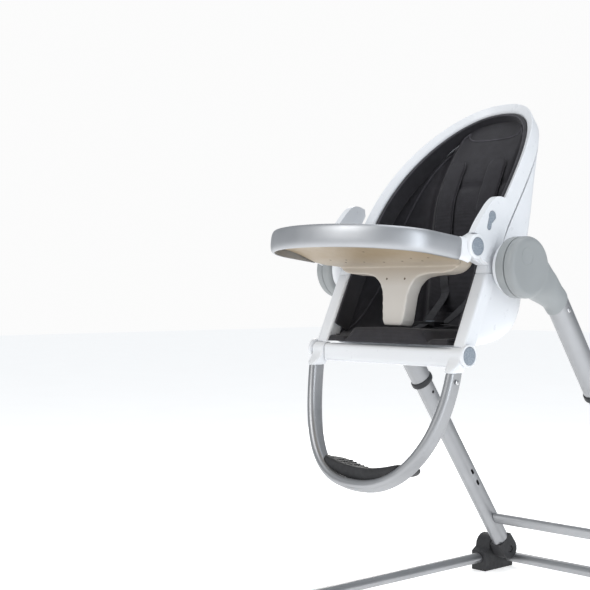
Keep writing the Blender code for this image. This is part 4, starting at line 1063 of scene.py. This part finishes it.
def build_hub_covers():
    """Grey covers outside the hub discs, each run into the top of its leg."""
    head_r, room_r, well_r = HUB_R + 0.0004, HUB_R + 0.0011, 0.0125
    head = [(COVER_X, head_r)] + quarter_round(COVER_OUT_X - 0.010, head_r, 0.010, 0.011, 8)
    emblem = HUB + Vector((0, -0.012, 0.0195))
    emboss = ((COVER_OUT_X - 0.002, 0.0165), (COVER_OUT_X + 0.0002, 0.0165), (COVER_OUT_X + 0.0005, 0.0162),
              (COVER_OUT_X + 0.0005, 0.0156), (COVER_OUT_X + 0.0001, 0.0152))
    for label, side in SIDES:
        cover = piece(f"hub_cap_{label}", turned_x(HUB, head, 96, side), GREY, "carriage",
                      (f"hub_cover_{label}",))
        cut(cover, hub_neck(side), "UNION")
        melted(cover, 0.0014, 26)
        cut(cover, rod_x(HUB, room_r, DISC_X - 0.012, COVER_X, 96, side))
        bore = oval(UPPER_TUBE[0] + GAP, UPPER_TUBE[1] + GAP)
        cut(cover, loft([leg_ring(side * LEG_X, bore, s) for s in (0.700, 0.7424)]))
        cut(cover, rod_x(HUB, well_r, COVER_X - 0.004, COVER_OUT_X - 0.006, 48, side))
        reshade(cover, 45)
        piece(f"hub_emboss_{label}", turned_x(emblem, emboss, 64, side), GREY, "carriage", (), 35)


def leg_tube(x, outer, inner, start, end, between):
    """Open tube along the leg, with rings between its ends where the outside needs them."""
    outside = [leg_ring(x, oval(*outer), s) for s in (start, *between, end)]
    inside = [leg_ring(x, oval(*inner), s) for s in (end, start)]
    return loft(outside + inside, closed=True)


def build_sleeve(label, side):
    """Outer silver sleeve, its black collar and its screw."""
    x = side * LEG_X
    sleeve = leg_tube(x, UPPER_TUBE, (0.0177, 0.0227), 0.522, 0.742, (0.56, 0.62, 0.68))
    piece(f"leg_sleeve_{label}", sleeve, SILVER, "carriage", (f"upper_leg_{label}",), 35)
    profile = ((0.507, 0.0200), (0.5085, 0.0215), (0.5110, 0.0225), (0.5190, 0.0225), (0.5209, 0.0216),
               (0.5217, 0.0205), (0.5217, 0.0178), (0.507, 0.0178))
    rings = [leg_ring(x, oval(half, half + 0.005), s) for s, half in profile]
    piece(f"leg_ring_{label}", loft(rings, closed=True), BLACK, "carriage", (f"leg_collar_{label}",), 35)
    build_screw(f"leg_screw_{label}", "carriage", side)


def build_post(label, side):
    """Inner silver leg with its adjustment holes, and the dark end that sits in the knuckle."""
    tube = piece(f"leg_post_{label}", leg_tube(side * LEG_X, LOWER_TUBE, LOWER_BORE, 0.032, 0.634,
                                               (0.15, 0.30, 0.45, 0.60)), SILVER, "legs",
                 (f"lower_leg_{label}",), 35)
    hole = circle(0.0035, 24)
    for station, reach in ((0.482, 0.0), (0.245, 0.004), (0.212, 0.004)):
        outline = [leg_point(station + b + math.copysign(reach, b), a) for a, b in hole]
        cut(tube, prism_x(outline, side * (LEG_X - LOWER_TUBE[0] - 0.006), side * (LEG_X - 0.010)))
    reshade(tube, 35)
    bevelled_copy(f"leg_lug_{label}", f"leg_knuckle_{label}", CHARCOAL, "legs", 0.0015)


def build_legs():
    """Both telescopic legs and the brace across them."""
    for label, side in SIDES:
        build_sleeve(label, side)
        build_post(label, side)
    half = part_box("leg_brace")[1].x
    rings = [[(x, *leg_point(0.100 + b, a)) for a, b in oval(0.008, 0.015, 48)] for x in (-half, half)]
    piece("leg_cross_brace", loft(eased_ends(rings, 0.0005)), SILVER, "legs", ("leg_brace",), 35)


def build_base():
    """Floor base: silver rails and rear cross tube, dark front feet and rear knuckles."""
    for label, _ in SIDES:
        low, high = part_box(f"base_rail_{label}")
        middle = (low + high) / 2
        section = oval((high.x - low.x) / 2, (high.z - low.z) / 2, 48)
        rings = [[(middle.x + a, y, middle.z + b) for a, b in section] for y in (low.y, high.y)]
        piece(f"floor_rail_{label}", loft(eased_ends(rings, 0.0005)), SILVER, "base",
              (f"base_rail_{label}",), 35)
        bevelled_copy(f"front_foot_{label}", f"floor_foot_{label}", CHARCOAL, "base", 0.004, 4)
        bevelled_copy(f"rear_knuckle_{label}", f"floor_knuckle_{label}", CHARCOAL, "base", 0.0025, 4)
    low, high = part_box("base_cross_tube")
    middle = (low + high) / 2
    rings = [[(x, middle.y + a, middle.z + b) for a, b in circle(0.012, 48)] for x in (low.x, high.x)]
    piece("floor_cross_tube", loft(eased_ends(rings, 0.0005)), SILVER, "base", ("base_cross_tube",), 35)


# ---------------------------------------------------------------- liner and harness
def liner_grids():
    """Front and back surfaces of the one-piece liner, as offsets from the shell, and where it is sewn."""
    grid = shell_surface(12, 96, 0.985)
    tongue_rows, tongue_length = 10, 0.030      # the seat runs on forward, past the shell
    last = grid[-1]
    tongue = [last + np.array([0.0, -tongue_length * k / tongue_rows, 0.0005 * k / tongue_rows])
              for k in range(1, tongue_rows + 1)]
    grid = np.concatenate([grid[1:], np.array(tongue)])
    rows, columns = grid.shape[:2]
    normal = surface_normals(grid)
    for _ in range(4):
        normal[1:-1] = (normal[:-2] + 2 * normal[1:-1] + normal[2:]) / 4
    normal /= np.linalg.norm(normal, axis=2, keepdims=True)
    u = np.linspace(0, 1, rows)[:, None] * np.ones((1, columns))
    v = np.abs(np.linspace(-1, 1, columns))[None, :] * np.ones((rows, 1))
    width = np.abs(grid[..., 0])
    panel_half, seam_x, seam_depth = 0.104, 0.108, 0.006
    panel = np.clip((panel_half - width) / 0.020, 0, 1)
    panel = panel * panel * (3 - 2 * panel)
    head = np.clip(u / 0.16, 0, 1)
    thick = 0.011 + 0.017 * panel * np.sqrt(head)
    seam = np.exp(-((width - seam_x) / 0.004) ** 2) * seam_depth
    crown = 0.0025 * np.cos(np.clip(width / panel_half, 0, 1) * math.pi / 2)
    for station in (0.20, 0.36, 0.52):
        seam += np.exp(-((u - station) / 0.007) ** 2) * seam_depth * panel
    thick = thick + crown * panel - seam
    border = np.minimum(np.minimum(u / 0.020, (1 - u) / 0.022), (1 - v) / 0.045)
    edge = np.sqrt(1 - (1 - np.clip(border, 0, 1)) ** 2)
    off_shell, thinnest = 0.0030, 0.004
    back = grid + normal * off_shell
    front = grid + normal * (off_shell + (np.maximum(thick, thinnest) * edge)[..., None])
    sewn = (seam > 0.0035) | (border < 0.7)
    return front, back, sewn


def points_of(mesh):
    points = np.empty(len(mesh.vertices) * 3)
    mesh.vertices.foreach_get("co", points)
    return points.reshape(-1, 3)


def swollen(result, sewn, cap, pressure=4.0):
    """Blow a piece up as cloth, held where it is sewn, with no point moved further than cap."""
    work = new_object("swelling", result.data.copy())
    work.vertex_groups.new(name="sewn").add([int(i) for i in np.flatnonzero(sewn)], 1.0, "REPLACE")
    cloth = work.modifiers.new("cloth", "CLOTH")
    cloth.settings.use_pressure = True
    cloth.settings.uniform_pressure_force = pressure
    cloth.settings.effector_weights.gravity = 0.0
    cloth.settings.vertex_group_mass = "sewn"
    cloth.settings.shrink_min = -0.03
    cloth.settings.quality = 4
    cloth.collision_settings.use_collision = False
    for frame_number in range(1, 21):
        bpy.context.scene.frame_set(frame_number)
    rest = points_of(result.data)
    move = points_of(work.evaluated_get(bpy.context.evaluated_depsgraph_get()).data) - rest
    length = np.linalg.norm(move, axis=1, keepdims=True)
    move *= np.minimum(1.0, cap / np.maximum(length, 1e-9))
    result.data.vertices.foreach_set("co", (rest + move).ravel())
    result.data.update()
    bpy.data.objects.remove(work)
    bpy.context.scene.frame_set(1)


def build_liner():
    """One-piece padded liner with a thin cord near its edge; returns the surface the straps lie on."""
    front, back, sewn = liner_grids()
    liner = piece("liner", sandwich(front, back), FABRIC, "seat",
                  ("liner_back", "liner_seat", "liner_side_left", "liner_side_right"), 70)
    held_back = np.ones(sewn.size, bool)
    most_move = 0.005
    swollen(liner, np.concatenate([sewn.ravel(), held_back]), most_move)
    rows, columns = front.shape[:2]
    surface = np.array([tuple(v.co) for v in liner.data.vertices[:rows * columns]])
    smooth = liner.modifiers.new("smooth", "SUBSURF")
    smooth.levels = smooth.render_levels = 1
    inset, end = 4, 8
    line = [Vector(front[rows - end - i, inset]) for i in range(rows - 2 * end)]
    line += [Vector(front[end, j]) for j in range(inset, columns - inset)]
    line += [Vector(front[end + i, columns - 1 - inset]) for i in range(rows - 2 * end)]
    piece("liner_piping", tube_line(line, 0.0018), PIPING, "seat", (), 80)
    return BVHTree.FromPolygons([tuple(p) for p in surface], grid_faces(rows, columns))


def border_section(share, head):
    """Outline (outward, backward) of the padded border inside the loop; head is 1 at the top of the arch."""
    half = TUBE_HALF + (RIM_HALF - TUBE_HALF) * share
    thick = 0.0036 + 0.0050 * share
    low, high = 0.004 + 0.009 * share, 0.045 + 0.007 * share - 0.012 * head
    middle = -half - 0.0006 - thick / 2
    section = rounded_box(thick / 2, (high - low) / 2, thick * 0.45, 5)
    return [(middle + a, (low + high) / 2 + b) for a, b in section]


def build_border():
    """Padded cloth border that follows the inside of the loop, with a cord along its front edge."""
    steps, bottom = 14, 0.612
    below = [(TUBE_X, bottom + (TRAY_SEAM_Z - bottom) * i / steps, 0.0) for i in range(steps)]
    stations = loop_stations(steps, below=below)
    rings, cord = [], []
    for (_, z, share), (point, outward, back) in zip(stations, loop_frames(stations)):
        section = border_section(share, smooth_step(z, 0.95, 1.03))
        rings.append([point + outward * a + back * b for a, b in section])
        inner, front = min(a for a, _ in section), min(b for _, b in section)
        cord.append(point + outward * (inner + 0.0008) + back * (front + 0.0012))
    border = piece("liner_border", loft(eased_ends(rings, 0.0010)), FABRIC, "seat", (), 60)
    piece("liner_border_cord", tube_line(cord, 0.0014, 8), PIPING, "seat", (), 80)


STRAP_LIFT = 0.0016                         # gap between a strap's back and the liner


def strap_rings(path, widths, thick, ups):
    """Rounded flat band along points, with its face along ups."""
    rings = []
    for i, point in enumerate(path):
        along = step_at(path, i).normalized()
        across = ups[i].cross(along).normalized()
        proud = along.cross(across).normalized()
        rings.append([point + across * a + proud * (b + thick / 2)
                      for a, b in rounded_box(widths[i], thick / 2, thick * 0.45, 3)])
    return rings


def on_liner(surface, x, z, lift):
    """Point on the liner's back rest straight behind (x, z), and the way the surface faces."""
    hit, normal, _, _ = surface.ray_cast(Vector((x, SEAT_Y - 0.1, z)), Vector((0, 1, 0)))
    if normal.y > 0:
        normal = -normal
    return hit + normal * lift, normal


def belt(name, path, half_width, ups, nodes=()):
    """Flat woven belt along points."""
    rings = strap_rings(path, [half_width] * len(path), 0.0018, ups)
    piece(name, loft(rings), WEBBING, "seat", nodes, 60)


def build_shoulder_pad(label, side, surface):
    """Padded part of a shoulder strap, bound along both edges."""
    drop = [(0.052, 0.938), (0.053, 0.900), (0.053, 0.860), (0.052, 0.820), (0.050, 0.780), (0.047, 0.735)]
    spots = [on_liner(surface, side * x, z, STRAP_LIFT) for x, z in spline([Vector(p) for p in drop], 6)]
    path, ups = [s[0] for s in spots], [s[1] for s in spots]
    count = len(path)
    for _ in range(12):
        path[1:-1] = [(path[i - 1] + path[i] * 2 + path[i + 1]) / 4 for i in range(1, count - 1)]
        ups[1:-1] = [(ups[i - 1] + ups[i] * 2 + ups[i + 1]).normalized() for i in range(1, count - 1)]
    full = [min(1.0, (min(i, count - 1 - i) + 1.2) / 4.0) for i in range(count)]
    widths = [0.0215 * math.sqrt(1 - (1 - share) ** 2) for share in full]
    pad = piece(f"shoulder_pad_{label}", loft(strap_rings(path, widths, 0.0075, ups)), FABRIC, "seat",
                (f"shoulder_harness_{label}",), 60)
    for edge in (-1, 1):
        rim = [p + ups[i] * 0.0037 + Vector((edge * (widths[i] - 0.0006), 0, 0)) for i, p in enumerate(path)]
        place = "outer" if edge * side > 0 else "inner"
        piece(f"shoulder_binding_{label}_{place}", tube_line(rim, 0.0013, 8), PIPING, "seat", (), 80)


def build_shoulder_strap(label, side, surface):
    """Belt that runs from under a shoulder pad down to the buckle."""
    buckle_low, buckle_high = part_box("buckle")
    tail = [(0.047, 0.750), (0.046, 0.725), (0.042, 0.690), (0.038, 0.665)]
    spots = [on_liner(surface, side * x, z, STRAP_LIFT) for x, z in tail]
    end = Vector((side * 0.024, buckle_high.y - 0.004, buckle_low.z + 0.006))
    points = [s[0] for s in spots] + [Vector((side * 0.031, SEAT_Y + 0.168, 0.632)), end]
    facing = [s[1] for s in spots] + [Vector((0, -0.6, 0.8)), Vector((0, -0.2, 1.0))]
    belt(f"shoulder_strap_{label}", spline(points, 6), 0.0105, [v.normalized() for v in spline(facing, 6)])


def build_waist_belt(label, side):
    _, outer = x_reach(f"waist_strap_{label}")
    route = ((outer + 0.004, 0.152, 0.614), (0.110, 0.146, 0.6065), (0.075, 0.136, 0.6035),
             (0.029, 0.124, 0.6070))
    path = spline([Vector((side * x, SEAT_Y + y, z)) for x, y, z in route], 8)
    belt(f"waist_belt_{label}", path, 0.0105, [Vector((0, 0, 1))] * len(path), (f"waist_strap_{label}",))


def build_harness(surface):
    """Five-point harness: shoulder, waist and crotch belts, and the buckle."""
    for label, side in SIDES:
        build_shoulder_pad(label, side, surface)
        build_shoulder_strap(label, side, surface)
        build_waist_belt(label, side)
    route = ((0.036, 0.5965), (0.048, 0.5990), (0.066, 0.5992), (0.084, 0.6015), (0.101, 0.6075))
    path = spline([Vector((0, SEAT_Y + y, z)) for y, z in route], 8)
    belt("crotch_belt", path, 0.0110, [Vector((0, -0.2, 1))] * len(path), ("crotch_strap",))
    bevelled_copy("buckle", "buckle_case", BLACK, "seat", 0.0022, 4)
    low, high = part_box("buckle_button")
    centre = (low + high) / 2
    profile = ((low.z, 0.0095), (high.z - 0.0012, 0.0095), (high.z - 0.0003, 0.0088), (high.z, 0.0075))
    rings = [[(centre.x + a, centre.y + b, z) for a, b in circle(r, 48)] for z, r in profile]
    piece("buckle_press", loft(rings), BUTTON, "buckle_release", ("buckle_button",), 40)


# ---------------------------------------------------------------- studio
def build_studio():
    """White floor and four soft area lights."""
    nodes = Nodes("studio_floor")
    nodes.colour(nodes.ramp(nodes.noise(3.0), (0.92, 0.92, 0.92), (0.95, 0.95, 0.95)))
    for key, value in (("Roughness", 0.75), ("Emission Color", (1.0, 1.0, 1.0, 1.0)),
                       ("Emission Strength", 0.58)):
        nodes.shader.inputs[key].default_value = value
    bpy.ops.mesh.primitive_plane_add(size=30, location=(0, 0, 0))
    floor = bpy.context.object
    floor.name = "studio_floor"
    floor.data.materials.append(nodes.material)
    build_world()
    for name, place, target, size, power, tint in (
            ("key", (-0.6, -3.0, 2.6), (0, 0, 0.6), (1.6, 2.2), 44, (1.0, 0.99, 0.97)),
            ("side", (3.2, -0.4, 1.2), (0, 0, 0.6), (0.9, 2.6), 34, (0.90, 0.95, 1.0)),
            ("top", (0.4, 0.3, 3.4), (0, 0, 0.6), (2.2, 2.2), 30, (0.97, 0.98, 1.0)),
            ("back", (-2.6, 2.2, 1.4), (0, 0, 0.7), (1.0, 2.4), 26, (1.0, 0.97, 0.93))):
        light = bpy.data.lights.new(name, "AREA")
        light.shape = "RECTANGLE"
        light.energy = power
        light.size, light.size_y = size
        light.color = tint
        lamp = new_object(name, light)
        lamp.location = place
        lamp.rotation_euler = (Vector(target) - Vector(place)).to_track_quat("-Z", "Y").to_euler()
    bpy.context.scene.view_settings.view_transform = "Standard"


def build_world():
    """White studio cove behind the object, and softer grey light from the room."""
    world = bpy.data.worlds.new("studio")
    bpy.context.scene.world = world
    world.use_nodes = True
    tree = world.node_tree
    room = tree.nodes["Background"]
    room.inputs["Color"].default_value = (0.90, 0.95, 1.0, 1.0)
    room.inputs["Strength"].default_value = 0.40
    cove = tree.nodes.new("ShaderNodeBackground")
    cove.inputs["Color"].default_value = (0.97, 0.97, 0.97, 1.0)
    path = tree.nodes.new("ShaderNodeLightPath")
    mix = tree.nodes.new("ShaderNodeMixShader")
    tree.links.new(path.outputs["Is Camera Ray"], mix.inputs["Fac"])
    tree.links.new(room.outputs["Background"], mix.inputs[1])
    tree.links.new(cove.outputs["Background"], mix.inputs[2])
    tree.links.new(mix.outputs["Shader"], tree.nodes["World Output"].inputs["Surface"])


def build_camera():
    """Level view from the child's front left."""
    camera = bpy.data.cameras.new("camera")
    camera.sensor_width = 36.0
    camera.lens = 75.65
    view = new_object("camera", camera)
    turn, pitch = math.radians(47.6791), math.radians(-0.2153)
    view.location = (1.6382, -1.9753, 0.6754)
    view.rotation_euler = (math.pi / 2 + pitch, 0.0, turn)
    bpy.context.scene.camera = view


build_studio()
build_camera()
for build in (build_rim, build_side_tubes, build_shell, build_front_lip, build_wings, build_bosses,
              build_tray_band, build_tray_dish, build_tray_moulding, build_tray_caps,
              build_footrest, build_plate, build_hub, build_hub_covers, build_legs, build_base):
    build()
liner_surface = build_liner()
build_border()
build_harness(liner_surface)
